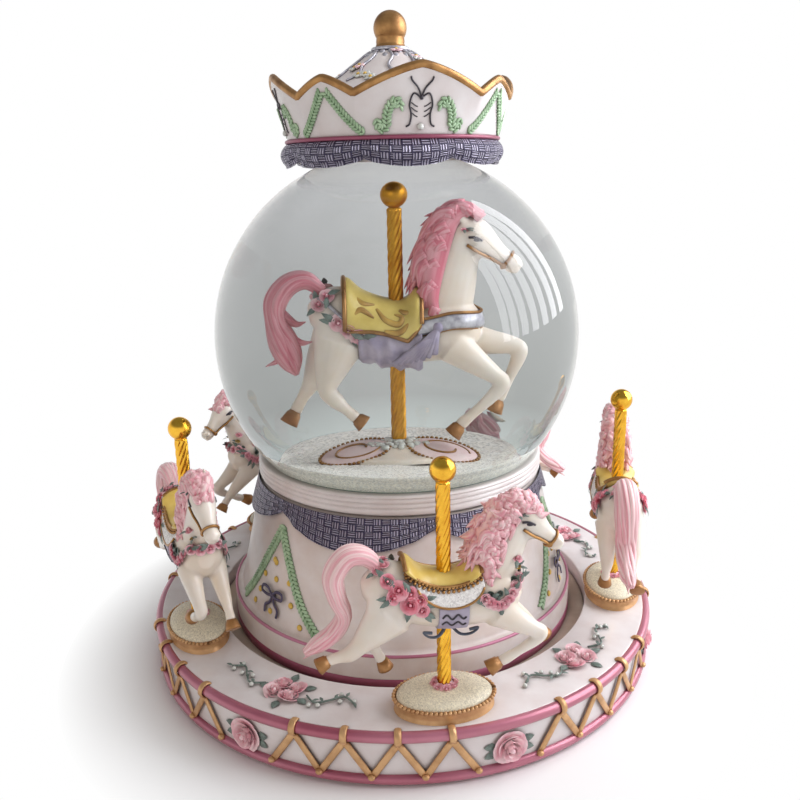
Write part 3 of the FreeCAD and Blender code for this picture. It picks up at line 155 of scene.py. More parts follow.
class Surface:
    """Vertices, faces and grain coordinates of one piece, in millimetres."""

    def __init__(self) -> None:
        """Starts with no points."""
        self.points: list[np.ndarray] = []
        self.grain: list[np.ndarray] = []
        self.faces: list[tuple[int, ...]] = []
        self.count = 0
        self.pieces = 0

    def add(self, points: np.ndarray, faces: Iterable[tuple[int, ...]], grain: np.ndarray) -> "Surface":
        """Adds a patch.

        Args:
            points: The patch's points.
            faces: Its faces, as numbers of its points.
            grain: Grain coordinates of the points.

        Returns:
            This surface.
        """
        start = self.count
        self.points.append(np.asarray(points, float).reshape(-1, 3))
        self.grain.append(grain + (self.pieces, 0))
        self.count += len(self.points[-1])
        self.pieces += 1
        self.faces.extend(tuple(start + i for i in face) for face in faces)
        return self

    def join(self, other: "Surface", place: Optional[np.ndarray] = None) -> "Surface":
        """Adds another surface.

        Args:
            other: The surface to add.
            place: A 4x4 matrix that moves it.

        Returns:
            This surface.
        """
        points = np.vstack(other.points)
        if place is not None:
            points = points @ place[:3, :3].T + place[:3, 3]
        return self.add(points, other.faces, np.vstack(other.grain))

    def net(self, rows: np.ndarray, ring: bool = True, loop: bool = False, cap: bool = True,
            grain: Optional[np.ndarray] = None) -> "Surface":
        """Adds a net of quads.

        Args:
            rows: Array of rows of points.
            ring: Whether each row closes on itself.
            loop: Whether the last row joins the first.
            cap: Whether closed rows at the two ends are filled in.
            grain: Grain coordinates of the points; shares of the row and of the rows if left out.

        Returns:
            This surface.
        """
        rows = np.asarray(rows, float)
        m, n = rows.shape[:2]
        faces = []
        for i in range(m if loop else m - 1):
            below, above = i * n, ((i + 1) % m) * n
            for j in range(n if ring else n - 1):
                k = (j + 1) % n
                faces.append((below + j, below + k, above + k, above + j))
        if ring and cap and not loop:
            faces.append(tuple(range(n - 1, -1, -1)))
            faces.append(tuple((m - 1) * n + j for j in range(n)))
        if grain is None:
            along, across = np.meshgrid(np.linspace(0, 1, m), np.linspace(0, 1, n), indexing="ij")
            grain = np.stack([across, along], 2)
        return self.add(rows, faces, np.asarray(grain, float).reshape(-1, 2))

    def mesh(self, name: str) -> bpy.types.Mesh:
        """Makes a mesh in metres.

        Args:
            name: Name for the mesh.

        Returns:
            A smooth-shaded mesh with its grain as a UV map.
        """
        mesh = bpy.data.meshes.new(name)
        mesh.from_pydata((np.vstack(self.points) * MM).tolist(), [], self.faces)
        mesh.polygons.foreach_set("use_smooth", [True] * len(mesh.polygons))
        layer = mesh.uv_layers.new(name="grain")
        corners = np.empty(len(mesh.loops), np.int32)
        mesh.loops.foreach_get("vertex_index", corners)
        layer.data.foreach_set("uv", np.vstack(self.grain)[corners].astype(np.float32).ravel())
        mesh.update()
        return mesh


def lathe(profile: Sequence[Sequence[float]], steps: int = 160, closed: bool = False) -> Surface:
    """Turned surface about the Z axis.

    Args:
        profile: Radius and height of each point.
        steps: Points round the axis.
        closed: Whether the profile closes on itself.

    Returns:
        The turned surface.
    """
    turn = full_turn(steps)
    rows = [np.stack([r * np.sin(turn), -r * np.cos(turn), np.full(steps, z)], 1) for r, z in profile]
    return Surface().net(np.array(rows), loop=closed, cap=False)


def oval(profile: Sequence[Sequence[float]], squeeze: float) -> Surface:
    """Turned form squeezed along Y.

    Args:
        profile: Radius and height of each point.
        squeeze: Its depth as a share of its width.

    Returns:
        The squeezed form.
    """
    made = lathe(profile, 96)
    made.points = [p * (1.0, squeeze, 1.0) for p in made.points]
    return made


def hoop(radius: float, z: float, thick: float, steps: int = 160) -> Surface:
    """Round ring about the Z axis."""
    turn = full_turn(16)
    return lathe([(radius + thick * math.cos(a), z + thick * math.sin(a)) for a in turn], steps, closed=True)


def rounded(corners: Sequence[Sequence[float]], radius: float, steps: int = 4) -> list[np.ndarray]:
    """Outline with its inner corners rounded off.

    Args:
        corners: Points of the outline.
        radius: How far from a corner its round starts.
        steps: Spans of each round.

    Returns:
        Points of the new outline.
    """
    p = np.asarray(corners, float)
    out = [p[0]]
    for before, here, after in zip(p, p[1:], p[2:]):
        to_before, to_after = before - here, after - here
        cut = min(radius, 0.45 * np.linalg.norm(to_before), 0.45 * np.linalg.norm(to_after))
        start, end = here + unit(to_before) * cut, here + unit(to_after) * cut
        for t in np.linspace(0, 1, steps + 1):
            out.append((1 - t) ** 2 * start + 2 * t * (1 - t) * here + t * t * end)
    out.append(p[-1])
    return out


def sweep(path: np.ndarray, radius: Union[float, np.ndarray], sides: int = 8, flat: float = 1.0,
          normals: Optional[np.ndarray] = None, loop: bool = False) -> Surface:
    """Tube along a path.

    Args:
        path: Points of the middle line.
        radius: One radius, or one per point; it is half the width of a flat strap.
        sides: Points round the tube.
        flat: Thickness along the normal as a share of the width.
        normals: Direction of the flat side at each point; carried along the path if left out.
        loop: Whether the path closes on itself.

    Returns:
        The tube's surface.
    """
    path = np.asarray(path, float)
    n = len(path)
    radius = np.broadcast_to(np.asarray(radius, float), (n,))
    if loop:
        runs = np.roll(path, -1, 0) - np.roll(path, 1, 0)
    else:
        runs = np.gradient(path, axis=0)
    up = np.array(UP)
    if abs(unit(runs[0])[2]) > 0.9:
        up = np.array([0.0, 1.0, 0.0])
    turn = full_turn(sides)
    rows = []
    for i in range(n):
        run = unit(runs[i])
        if normals is not None:
            up = normals[i]
        up = unit(up - run * np.dot(up, run))
        across = np.cross(run, up)
        ring = np.outer(np.cos(turn), across) + np.outer(np.sin(turn), up) * flat
        rows.append(path[i] + ring * radius[i])
    return Surface().net(np.array(rows), loop=loop)


def ellipsoid(radii: Sequence[float], sides: int = 12) -> Surface:
    """Ball stretched to three radii, with its poles on Z.

    Args:
        radii: Half its size along each axis.
        sides: Points round it.

    Returns:
        The ball.
    """
    tilt = np.linspace(-math.pi / 2, math.pi / 2, sides // 2 + 2)[1:-1]
    turn = full_turn(sides)
    rows = [np.stack([radii[0] * math.cos(a) * np.cos(turn), radii[1] * math.cos(a) * np.sin(turn),
                      np.full(sides, radii[2] * math.sin(a))], 1) for a in tilt]
    return Surface().net(np.array(rows))


def beads(path: np.ndarray, radius: float, sides: int = 8) -> Surface:
    """Row of small balls.

    Args:
        path: Middles of the balls.
        radius: Radius of each.
        sides: Points round each.

    Returns:
        The row.
    """
    out = Surface()
    ball = ellipsoid((radius, radius, radius), sides)
    for point in path:
        out.join(ball, facing(point))
    return out


def rose(radius: float) -> Surface:
    """Open rose facing +Z: a bud with four rows of overlapping petals.

    Args:
        radius: Reach of the open petals.

    Returns:
        The flower.
    """
    out = ellipsoid((0.24, 0.24, 0.5), 8)
    moved = Surface().join(out, facing((0, 0, 0.22)))
    a, b = np.meshgrid(np.linspace(-1, 1, 7), np.linspace(0, 1, 6))
    for layer, (count, spread, height, lean) in enumerate(
            ((3, 0.36, 0.70, 0.05), (4, 0.58, 0.60, 0.16), (5, 0.80, 0.44, 0.30), (5, 1.0, 0.26, 0.42))):
        for k in range(count):
            turn = 2 * math.pi * k / count + 0.8 * layer + a * 4.0 / count
            reach = spread * (0.55 + 0.45 * np.sqrt(b)) + lean * b ** 3 * 0.5 - 0.10 * a * a * b - 0.05 * a
            rise = height * (b - 0.22 * a * a * b) - 0.10 * lean * b ** 6
            moved.net(np.stack([reach * np.cos(turn), reach * np.sin(turn), rise], 2), ring=False)
    return Surface().join(moved, np.diag([radius, radius, radius, 1.0]))


def leaf(length: float, width: float, bend: float = 0.25) -> Surface:
    """Pointed leaf lying along +X with a raised midrib, facing +Z.

    Args:
        length: Length along +X.
        width: Full width.
        bend: How high it arches.

    Returns:
        The leaf.
    """
    t, s = np.meshgrid(np.linspace(0, 1, 8), np.linspace(-1, 1, 5), indexing="ij")
    half = width / 2 * np.sin(math.pi * t ** 0.8) * (1 + 0.12 * np.sin(18 * t))
    rise = length * bend * np.sin(math.pi * t) * 0.5 - 0.3 * half * np.abs(s) + 0.05 * length
    return Surface().net(np.stack([t * length, s * half, rise], 2), ring=False)


def remeshed(surface: Surface, name: str, voxel: float, smooth: int) -> bpy.types.Mesh:
    """One skin over overlapping forms.

    Args:
        surface: Closed forms that overlap each other.
        name: Name for the mesh.
        voxel: Grain of the skin, in millimetres.
        smooth: Rounds of smoothing.

    Returns:
        A new mesh in metres.
    """
    source = bpy.data.objects.new(name + "_source", surface.mesh(name + "_source"))
    bpy.context.scene.collection.objects.link(source)
    skin = source.modifiers.new("skin", "REMESH")
    skin.mode = "VOXEL"
    skin.voxel_size = voxel * MM
    soften = source.modifiers.new("soften", "SMOOTH")
    soften.factor = 0.5
    soften.iterations = smooth
    seen = source.evaluated_get(bpy.context.evaluated_depsgraph_get())
    mesh = bpy.data.meshes.new_from_object(seen)
    mesh.name = name
    mesh.polygons.foreach_set("use_smooth", [True] * len(mesh.polygons))
    bpy.data.objects.remove(source)
    return mesh


def linear(colour: Colour) -> tuple[float, float, float, float]:
    """Scene-linear RGBA of a display colour.

    Args:
        colour: Red, green and blue from 0 to 255.

    Returns:
        Red, green and blue from 0 to 1, and a full alpha.
    """
    shares = [channel / 255.0 for channel in colour]
    red, green, blue = (c / 12.92 if c <= 0.04045 else ((c + 0.055) / 1.055) ** 2.4 for c in shares)
    return (red, green, blue, 1.0)


class Nodes:
    """Shader nodes of one tree, linked as they are added."""

    def __init__(self, tree: bpy.types.NodeTree) -> None:
        """Takes the tree that the nodes go into."""
        self.tree = tree

    def feed(self, made: bpy.types.Node, links: Links) -> None:
        """Feeds a node's inputs.

        Args:
            made: The node.
            links: A socket or a plain value for each input, by its name or number.
        """
        for key, source in links.items():
            if isinstance(source, bpy.types.NodeSocket):
                self.tree.links.new(source, made.inputs[key])
            else:
                made.inputs[key].default_value = source

    def node(self, kind: str, links: Optional[Links] = None, **settings: object) -> bpy.types.Node:
        """Adds a node.

        Args:
            kind: Blender's name for the kind of node.
            links: What feeds its inputs.
            **settings: Its properties.

        Returns:
            The new node.
        """
        made = self.tree.nodes.new(kind)
        for key, value in settings.items():
            setattr(made, key, value)
        self.feed(made, links or {})
        return made

    def shared(self, group: bpy.types.NodeTree,
               links: Optional[Links] = None) -> bpy.types.bpy_prop_collection:
        """Outputs of a shared group that is added to the tree."""
        return self.node("ShaderNodeGroup", links, node_tree=group).outputs

    def maths(self, operation: str, a: Feed, b: Feed = 0.0) -> bpy.types.NodeSocket:
        """Result of one sum."""
        return self.node("ShaderNodeMath", {0: a, 1: b}, operation=operation).outputs[0]

    def blend(self, share: Feed, a: Feed, b: Feed) -> bpy.types.NodeSocket:
        """Mix of two colours, the second one by its share."""
        return self.node("ShaderNodeMix", {0: share, 6: a, 7: b}, data_type="RGBA").outputs[2]

    def remap(self, value: Feed, low: float, high: float, start: float = 0.0,
              end: float = 1.0) -> bpy.types.NodeSocket:
        """Value brought from one range to another and kept within it."""
        links = {0: value, 1: low, 2: high, 3: start, 4: end}
        return self.node("ShaderNodeMapRange", links).outputs[0]

    def scaled(self, colour: Feed, by: Feed) -> bpy.types.NodeSocket:
        """Colour made brighter or darker."""
        return self.node("ShaderNodeVectorMath", {0: colour, "Scale": by}, operation="SCALE").outputs[0]

    def noise(self, place: Feed, scale: Feed, detail: float) -> bpy.types.NodeSocket:
        """Soft noise."""
        links = {"Vector": place, "Scale": scale, "Detail": detail}
        return self.node("ShaderNodeTexNoise", links).outputs[0]

    def place(self, kind: str = "Object") -> bpy.types.NodeSocket:
        """Coordinates of the shaded point."""
        return self.node("ShaderNodeTexCoord").outputs[kind]

    def parts(self, vector: Feed) -> bpy.types.bpy_prop_collection:
        """The three parts of a vector."""
        return self.node("ShaderNodeSeparateXYZ", {0: vector}).outputs


class NodeGroup(Nodes):
    """Shader node group with named sockets, built once and shared by materials."""

    def __init__(self, name: str, inputs: dict[str, tuple[str, object]], outputs: dict[str, str]) -> None:
        """Makes the group with its sockets.

        Args:
            name: Name of the group.
            inputs: Kind and starting value of each input.
            outputs: Kind of each output.
        """
        super().__init__(bpy.data.node_groups.new(name, "ShaderNodeTree"))
        for label, (kind, start) in inputs.items():
            socket = self.tree.interface.new_socket(label, in_out="INPUT", socket_type=kind)
            socket.default_value = start
        for label, kind in outputs.items():
            self.tree.interface.new_socket(label, in_out="OUTPUT", socket_type=kind)
        self.given = self.node("NodeGroupInput").outputs
        self.outside = self.node("NodeGroupOutput")

    def grain(self) -> bpy.types.NodeSocket:
        """Coordinates along and across the piece's grain."""
        return self.node("ShaderNodeUVMap", uv_map="grain").outputs[0]

    def openness(self, reach: float, low: float, high: float) -> bpy.types.NodeSocket:
        """Zero in hollows and one on open ground.

        Args:
            reach: How far the hollows are looked for, in metres.
            low: Open share of the sky that counts as a hollow.
            high: Open share that counts as open ground.

        Returns:
            The socket of the mask.
        """
        sky = self.node("ShaderNodeAmbientOcclusion", {"Distance": reach}, samples=6)
        return self.remap(sky.outputs["AO"], low, high)

    def mixed(self, share: Feed) -> bpy.types.NodeSocket:
        """The group's two colours, the second one by its share."""
        return self.blend(share, self.given["Colour"], self.given["Second"])

    def duller(self, by: Feed, times: float = 1.0) -> bpy.types.NodeSocket:
        """The group's roughness with more added to it."""
        return self.maths("ADD", self.given["Shine"], self.maths("MULTIPLY", by, times))

    def close(self, **sources: bpy.types.NodeSocket) -> bpy.types.NodeTree:
        """Sends sockets to the outputs that they are named for and gives the finished tree."""
        self.feed(self.outside, sources)
        return self.tree


class Effects:
    """The shared node groups, one per pattern."""

    inputs = {"Colour": ("NodeSocketColor", (1, 1, 1, 1)), "Second": ("NodeSocketColor", (1, 1, 1, 1)),
              "Scale": ("NodeSocketFloat", 100.0), "Shine": ("NodeSocketFloat", 0.4)}
    outputs = {"Colour": "NodeSocketColor", "Roughness": "NodeSocketFloat", "Height": "NodeSocketFloat"}

    def __init__(self) -> None:
        """Builds every group."""
        self.groups = {
            Pattern.MOTTLED: self.mottled(), Pattern.AGED: self.aged(), Pattern.GLITTER: self.glitter(),
            Pattern.WEAVE: self.weave(), Pattern.STRANDS: self.strands(), Pattern.BRUSHED: self.brushed(),
            Pattern.PETALS: self.petals(),
        }

    def start(self, name: str) -> NodeGroup:
        """A group with the usual sockets."""
        return NodeGroup(name, self.inputs, self.outputs)

    def mottled(self) -> bpy.types.NodeTree:
        """Cast resin: soft patches of two colours, with painted shade darkening the hollows.

        Returns:
            The group's tree.
        """
        group = self.start("cast_resin")
        place = group.place()
        patches = group.noise(place, group.given["Scale"], 4.0)
        open_ground = group.mixed(group.remap(patches, 0.35, 0.68))
        # Painted shade: hollows darken towards a dark brown.
        painted_shade = group.blend(0.55, open_ground, (0.10, 0.07, 0.06, 1.0))
        colour = group.blend(group.openness(0.0016, 0.35, 0.95), painted_shade, open_ground)
        return group.close(Colour=colour, Roughness=group.duller(patches, 0.16),
                           Height=group.noise(place, 2600.0, 2.0))

    def aged(self) -> bpy.types.NodeTree:
        """Gilding with brown patina in its hollows.

        Returns:
            The group's tree.
        """
        group = self.start("aged_gilt")
        patches = group.noise(group.place(), group.given["Scale"], 6.0)
        open_ground = group.openness(0.0012, 0.30, 0.85)
        bright = group.maths("MULTIPLY", open_ground, group.remap(patches, 0.30, 0.62, 0.35, 1.0))
        colour = group.blend(bright, group.given["Second"], group.given["Colour"])
        return group.close(Colour=colour, Roughness=group.duller(group.remap(bright, 0.0, 1.0, 0.25, 0.0)),
                           Height=patches)

    def glitter(self) -> bpy.types.NodeTree:
        """Flakes: each cell has its own tint and height.

        Returns:
            The group's tree.
        """
        group = self.start("glitter_flakes")
        cells = group.node("ShaderNodeTexVoronoi", {"Vector": group.place(), "Scale": group.given["Scale"]})
        parts = group.node("ShaderNodeSeparateColor", {"Color": cells.outputs["Color"]}).outputs
        tint = group.mixed(group.remap(parts[0], 0.5, 0.9))
        colour = group.scaled(tint, group.remap(parts[1], 0.0, 1.0, 0.80, 1.12))
        return group.close(Colour=colour, Roughness=group.remap(parts[2], 0.0, 1.0, 0.15, 0.7),
                           Height=parts[1])

    def weave(self) -> bpy.types.NodeTree:
        """Basket weave: blocks of upright and level threads by turns, laid out in the grain map. Its colour
        follows the thread height: partly the cloth's own dark and light paint, partly painted shade in the
        gaps and a painted highlight on the thread tops.

        Returns:
            The group's tree.
        """
        group = self.start("basket_weave")
        place = group.grain()
        check = group.node("ShaderNodeTexChecker", {"Vector": place, "Scale": group.given["Scale"]})
        parts = group.parts(place)
        threads, edges = [], []
        for axis in (0, 1):
            wave = group.maths("SINE", group.maths("MULTIPLY", parts[axis], 6 * math.pi))
            threads.append(group.remap(wave, -1.0, 1.0))
            half = group.maths("PINGPONG", group.maths("FRACT", parts[axis]), 0.5)
            edges.append(group.remap(half, 0.0, 0.14))
        pick = group.node("ShaderNodeMix", {0: check.outputs["Fac"], 2: threads[0], 3: threads[1]})
        height = group.maths("MULTIPLY", pick.outputs[0], group.maths("MULTIPLY", edges[0], edges[1]))
        # Dark second colour low between threads as painted shade, light first colour on the tops as a
        # painted highlight, over the cloth's own two-tone paint.
        colour = group.blend(group.remap(height, 0.12, 0.72), group.given["Second"], group.given["Colour"])
        return group.close(Colour=colour, Roughness=group.duller(height, -0.15), Height=height)

    def strands(self) -> bpy.types.NodeTree:
        """Hair: streaks of two colours along each lock, with painted shade darkening the hollows.

        Returns:
            The group's tree.
        """
        group = self.start("hair_strands")
        stretch = {0: group.grain(), 1: (9.0, 1.6, 1.0)}
        drawn = group.node("ShaderNodeVectorMath", stretch, operation="MULTIPLY").outputs[0]
        streaks = group.noise(drawn, group.given["Scale"], 3.0)
        share = group.remap(streaks, 0.36, 0.64)
        open_ground = group.mixed(share)
        # Painted shade: the hollows between locks darken towards a dark red.
        deep = group.blend(0.4, open_ground, (0.55, 0.12, 0.16, 1.0))
        colour = group.blend(group.openness(0.0009, 0.3, 0.9), deep, open_ground)
        return group.close(Colour=colour, Roughness=group.duller(share, 0.15), Height=streaks)

    def petals(self) -> bpy.types.NodeTree:
        """Flowers and leaves: partly their own deeper centres and paler rims, partly painted shade in the
        hollows (first colour) and a painted highlight on the open edges (second colour).

        Returns:
            The group's tree.
        """
        group = self.start("petal_shade_and_highlight")
        patches = group.noise(group.place(), group.given["Scale"], 3.0)
        # Painted shade in the hollows and a painted highlight on the open edges, from ambient occlusion.
        edge = group.openness(0.0003, 0.25, 0.92)
        share = group.maths("MULTIPLY", edge, group.remap(patches, 0.3, 0.6, 0.35, 1.0))
        return group.close(Colour=group.mixed(share), Roughness=group.duller(patches, 0.15), Height=patches)

    def brushed(self) -> bpy.types.NodeTree:
        """Metal with faint smears in its polish.

        Returns:
            The group's tree.
        """
        group = self.start("polished_metal")
        smears = group.noise(group.place(), group.given["Scale"], 5.0)
        share = group.remap(smears, 0.3, 0.7)
        return group.close(Colour=group.mixed(share), Roughness=group.duller(share, 0.12), Height=smears)


@dataclass(frozen=True)
class Finish:
    """A painted, gilt or moulded finish."""

    name: str
    colour: Colour
    second: Colour
    pattern: Pattern = Pattern.MOTTLED
    scale: float = 160.0
    shine: float = 0.35
    metallic: float = 0.0
    coat: float = 0.0
    relief: float = 0.05
    depth: float = 0.0002
    glow: float = 0.0
    slot: str = "ivory_resin"
    coat_roughness: float = 0.12
    glow_radius: tuple[float, float, float] = (0.004, 0.003, 0.002)

    def material(self, effects: Effects) -> bpy.types.Material:
        """Makes the finish's material around its pattern's node group.

        Args:
            effects: The shared node groups.

        Returns:
            The new material.
        """
        made = bpy.data.materials.new(self.name)
        made.use_nodes = True
        nodes = Nodes(made.node_tree)
        pattern = nodes.shared(effects.groups[self.pattern], {
            "Colour": linear(self.colour), "Second": linear(self.second), "Scale": self.scale,
            "Shine": self.shine})
        bump = nodes.node("ShaderNodeBump", {"Strength": self.relief, "Distance": self.depth,
                                             "Height": pattern["Height"]})
        nodes.feed(made.node_tree.nodes["Principled BSDF"], {
            "Base Color": pattern["Colour"], "Roughness": pattern["Roughness"],
            "Normal": bump.outputs["Normal"], "Metallic": self.metallic, "Coat Weight": self.coat,
            "Coat Roughness": self.coat_roughness, "Subsurface Weight": self.glow,
            "Subsurface Radius": self.glow_radius})
        return made


class Paint(Enum):
    """Every finish on the object."""

    IVORY = Finish("ivory_resin", (232, 224, 220), (222, 209, 202), coat=0.3, glow=0.08)
    WHITE = Finish("white_resin", (236, 231, 230), (228, 219, 217), shine=0.28, coat=0.35)
    HORSE = Finish("pearl_horse", (242, 235, 224), (236, 222, 204), scale=90.0, shine=0.25, coat=0.5,
                   glow=0.15, slot="horse_resin")
    OLD_GOLD = Finish("old_gold", (186, 140, 86), (116, 76, 40), Pattern.AGED, 300.0, 0.32, 0.7,
                      relief=0.08, slot="gilt")
    STRAP_GOLD = Finish("strap_gold", (218, 174, 124), (166, 118, 74), Pattern.AGED, 260.0, 0.34, 0.45,
                        relief=0.06, slot="gilt")
    GOLD = Finish("polished_gold", (250, 196, 72), (226, 164, 50), Pattern.BRUSHED, 400.0, 0.12, 1.0,
                  relief=0.01, slot="gilt")
    SATIN_GOLD = Finish("satin_gold", (222, 166, 62), (200, 140, 44), Pattern.BRUSHED, 300.0, 0.30, 1.0,
                        relief=0.02, slot="gilt")
    MAUVE = Finish("mauve_metal", (166, 80, 100), (198, 128, 146), Pattern.BRUSHED, 34.0, 0.28, 0.35,
                   coat=0.4, relief=0.03, slot="rose_resin")
    RASPBERRY = Finish("raspberry_band", (142, 66, 88), (166, 92, 118), Pattern.BRUSHED, 30.0, 0.34, 0.2,
                       slot="rose_resin")
    LINE = Finish("pink_line", (180, 104, 128), (200, 134, 160), Pattern.BRUSHED, 40.0, 0.35, 0.2,
                  slot="rose_resin")
    # Petal and leaf finishes: the first colour fills hollows as painted shade, the second lies on open edges
    # as a painted highlight.
    ROSE = Finish("rose_petals", (242, 156, 178), (255, 230, 232), Pattern.PETALS, 420.0, 0.4,
                  slot="rose_resin")
    DEEP_ROSE = Finish("deep_rose_petals", (236, 108, 138), (254, 200, 210), Pattern.PETALS, 420.0, 0.4,
                       slot="rose_resin")
    LEAF = Finish("dark_leaf", (48, 60, 54), (126, 142, 134), Pattern.PETALS, 700.0, 0.45,
                  slot="rose_resin")
    BRAID = Finish("green_braid", (186, 214, 178), (118, 154, 112), Pattern.AGED, 500.0, 0.45)
    # Woven finish: the dark second colour is painted shade between the threads and the light first colour a
    # painted highlight on them, over the cloth's own two-tone paint.
    WEAVE = Finish("lilac_weave", (198, 192, 214), (58, 52, 80), Pattern.WEAVE, 1.0, 0.42, 0.3, relief=0.9,
                   depth=0.0007, slot="lilac_resin")
    YELLOW = Finish("saddle_yellow", (244, 216, 122), (228, 194, 88), scale=220.0, shine=0.32, coat=0.3)
    INNER_YELLOW = Finish("saddle_straw", (234, 212, 122), (210, 186, 94), scale=220.0, shine=0.36, coat=0.2)
    CARVING = Finish("saddle_carving", (206, 170, 84), (158, 118, 52), scale=260.0, shine=0.34, coat=0.2)
    SHELL = Finish("shell_blush", (246, 226, 224), (240, 206, 206), scale=160.0, shine=0.3, coat=0.3)
    GLITTER = Finish("white_glitter", (252, 251, 248), (238, 236, 234), Pattern.GLITTER, 3400.0, relief=0.5)
    CREAM_GLITTER = Finish("cream_glitter", (242, 234, 208), (226, 217, 192), Pattern.GLITTER, 4200.0,
                           relief=0.4)
    SNOW = Finish("snow_glitter", (248, 242, 232), (232, 230, 226), Pattern.GLITTER, 2600.0, relief=0.4)
    LILAC = Finish("lilac_cloth", (190, 182, 200), (150, 142, 168), scale=260.0, shine=0.4,
                   slot="lilac_resin")
    HAIR = Finish("pink_hair", (236, 158, 172), (252, 224, 222), Pattern.STRANDS, 1.0, 0.32, coat=0.3,
                  relief=0.35, depth=0.0004, slot="rose_resin")
    INNER_HAIR = Finish("rose_hair", (212, 118, 134), (232, 176, 182), Pattern.STRANDS, 1.0, 0.38, coat=0.2,
                        relief=0.3, depth=0.0004, slot="rose_resin")
    HOOF = Finish("hoof_gold", (172, 124, 74), (136, 92, 50), Pattern.AGED, 320.0, 0.36, 0.4, slot="gilt")
    INK = Finish("dark_ink", (40, 38, 46), (58, 54, 66), scale=500.0, shine=0.3, slot="horse_resin")
    BOW = Finish("plum_ribbon", (92, 84, 112), (62, 54, 80), scale=500.0, slot="lilac_resin")
    RIBBON = Finish("slate_ribbon", (96, 106, 122), (66, 74, 90), scale=500.0, slot="lilac_resin")
    DOT = Finish("yellow_dot", (238, 204, 104), (226, 184, 78), scale=500.0)
    PEARL = Finish("pearl_bud", (234, 236, 230), (206, 212, 206), scale=700.0, shine=0.2, coat=0.6)
    SILVER = Finish("silver_braid", (216, 216, 222), (116, 112, 130), Pattern.AGED, 700.0, 0.3, 0.5,
                    slot="gilt")
    SEAL = Finish("teal_seal", (150, 190, 178), (96, 142, 132), scale=300.0, shine=0.25, coat=0.4,
                  slot="clear_glass")
    DECK = Finish("beige_deck", (196, 168, 146), (176, 146, 124), shine=0.45, slot="base_plastic")
    STEEL = Finish("plain_steel", (150, 150, 154), (110, 110, 116), Pattern.BRUSHED, 600.0, 0.3, 1.0,
                   slot="steel")
    BRASS = Finish("turned_brass", (206, 170, 96), (178, 138, 70), Pattern.BRUSHED, 500.0, 0.25, 1.0,
                   slot="brass_parts")
    NYLON = Finish("natural_nylon", (226, 224, 214), (212, 208, 196), shine=0.45, slot="nylon")
    RUBBER = Finish("black_rubber", (28, 28, 29), (40, 40, 42), scale=400.0, shine=0.6, slot="black_rubber")
    CASE = Finish("beige_case", (206, 192, 176), (192, 176, 158), shine=0.5, slot="base_plastic")


class Palette:
    """Materials by paint, each made when it is first asked for."""

    def __init__(self) -> None:
        """Starts with the shared groups and no materials."""
        self.effects = Effects()
        self.made: dict[Paint, bpy.types.Material] = {}

    def get(self, paint: Paint) -> bpy.types.Material:
        """The material of a paint.

        Args:
            paint: The finish.

        Returns:
            Its material.
        """
        if paint not in self.made:
            self.made[paint] = paint.value.material(self.effects)
        return self.made[paint]


PALETTE = Palette()


def show(name: str, shape: Union[Surface, bpy.types.Mesh], paint: Paint, body: Body = Body.BASE,
         place: Optional[Matrix] = None, replaces: Sequence[str] = ()) -> bpy.types.Object:
    """Adds a piece to the scene.

    Args:
        name: Name of the piece.
        shape: A Surface, or a mesh that may be shared by several pieces.
        paint: Finish of the whole piece.
        body: CAD body that it moves with.
        place: Where it goes, in metres; it stays put if left out.
        replaces: CAD nodes that it stands for.

    Returns:
        The new object.
    """
    mesh = shape.mesh(name) if isinstance(shape, Surface) else shape
    if not mesh.materials:
        mesh.materials.append(PALETTE.get(paint))
    made = bpy.data.objects.new(name, mesh)
    bpy.context.scene.collection.objects.link(made)
    if place is not None:
        made.matrix_world = place
    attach(made, body.value)
    if replaces:
        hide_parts(*replaces)
    LOG.info("%s: %d faces", name, len(mesh.polygons))
    return made


def even(path: np.ndarray, spacing: float) -> np.ndarray:
    """Points at even distances along a line.

    Args:
        path: Points of the line.
        spacing: Distance to come near to.

    Returns:
        Points on the line.
    """
    runs = np.concatenate([[0.0], np.cumsum(np.linalg.norm(np.diff(path, axis=0), axis=1))])
    stops = np.linspace(0, runs[-1], max(int(round(runs[-1] / spacing)), 1) + 1)
    return np.stack([np.interp(stops, runs, path[:, k]) for k in range(path.shape[1])], 1)


def herringbone(path: np.ndarray, normals: Callable[[np.ndarray], np.ndarray], width: float) -> Surface:
    """Plaited braid along a path.

    Args:
        path: Middle line of the braid.
        normals: Gives the outward direction at a point.
        width: Width of the braid.

    Returns:
        Two rows of slanting grains.
    """
    out = Surface()
    grain = ellipsoid((width * 0.42, width * 0.19, width * 0.2), 8)
    points = even(path, width * 0.42)
    for i, point in enumerate(points[:-1]):
        run = unit(points[i + 1] - point)
        normal = unit(normals(point))
        across = np.cross(normal, run)
        for side in (-1, 1):
            at = point + across * side * width * 0.24
            out.join(grain, lying(at, normal, run * 0.75 + across * side * 0.7))
    return out


def ribbon_bow(size: float) -> Surface:
    """Tied bow facing +Z: two loops, two tails and a knot.

    Args:
        size: Reach of a loop.

    Returns:
        The bow.
    """
    out = Surface()
    for side in (-1, 1):
        loop = ((0, 0), (0.45, 0.34), (0.95, 0.34), (1.0, 0.02), (0.5, -0.08), (0, 0))
        tail = ((0, 0), (0.22, -0.5), (0.62, -0.8), (0.6, -1.25))
        for line, lift in ((loop, 0.12), (tail, 0.05)):
            flat = smooth_curve([(side * x * size, y * size, lift * size) for x, y in line], 6)
            out.join(sweep(flat, 0.1 * size, 6, 0.45, np.tile(UP, (len(flat), 1))))
    return out.join(ellipsoid((0.2 * size, 0.18 * size, 0.22 * size), 8))


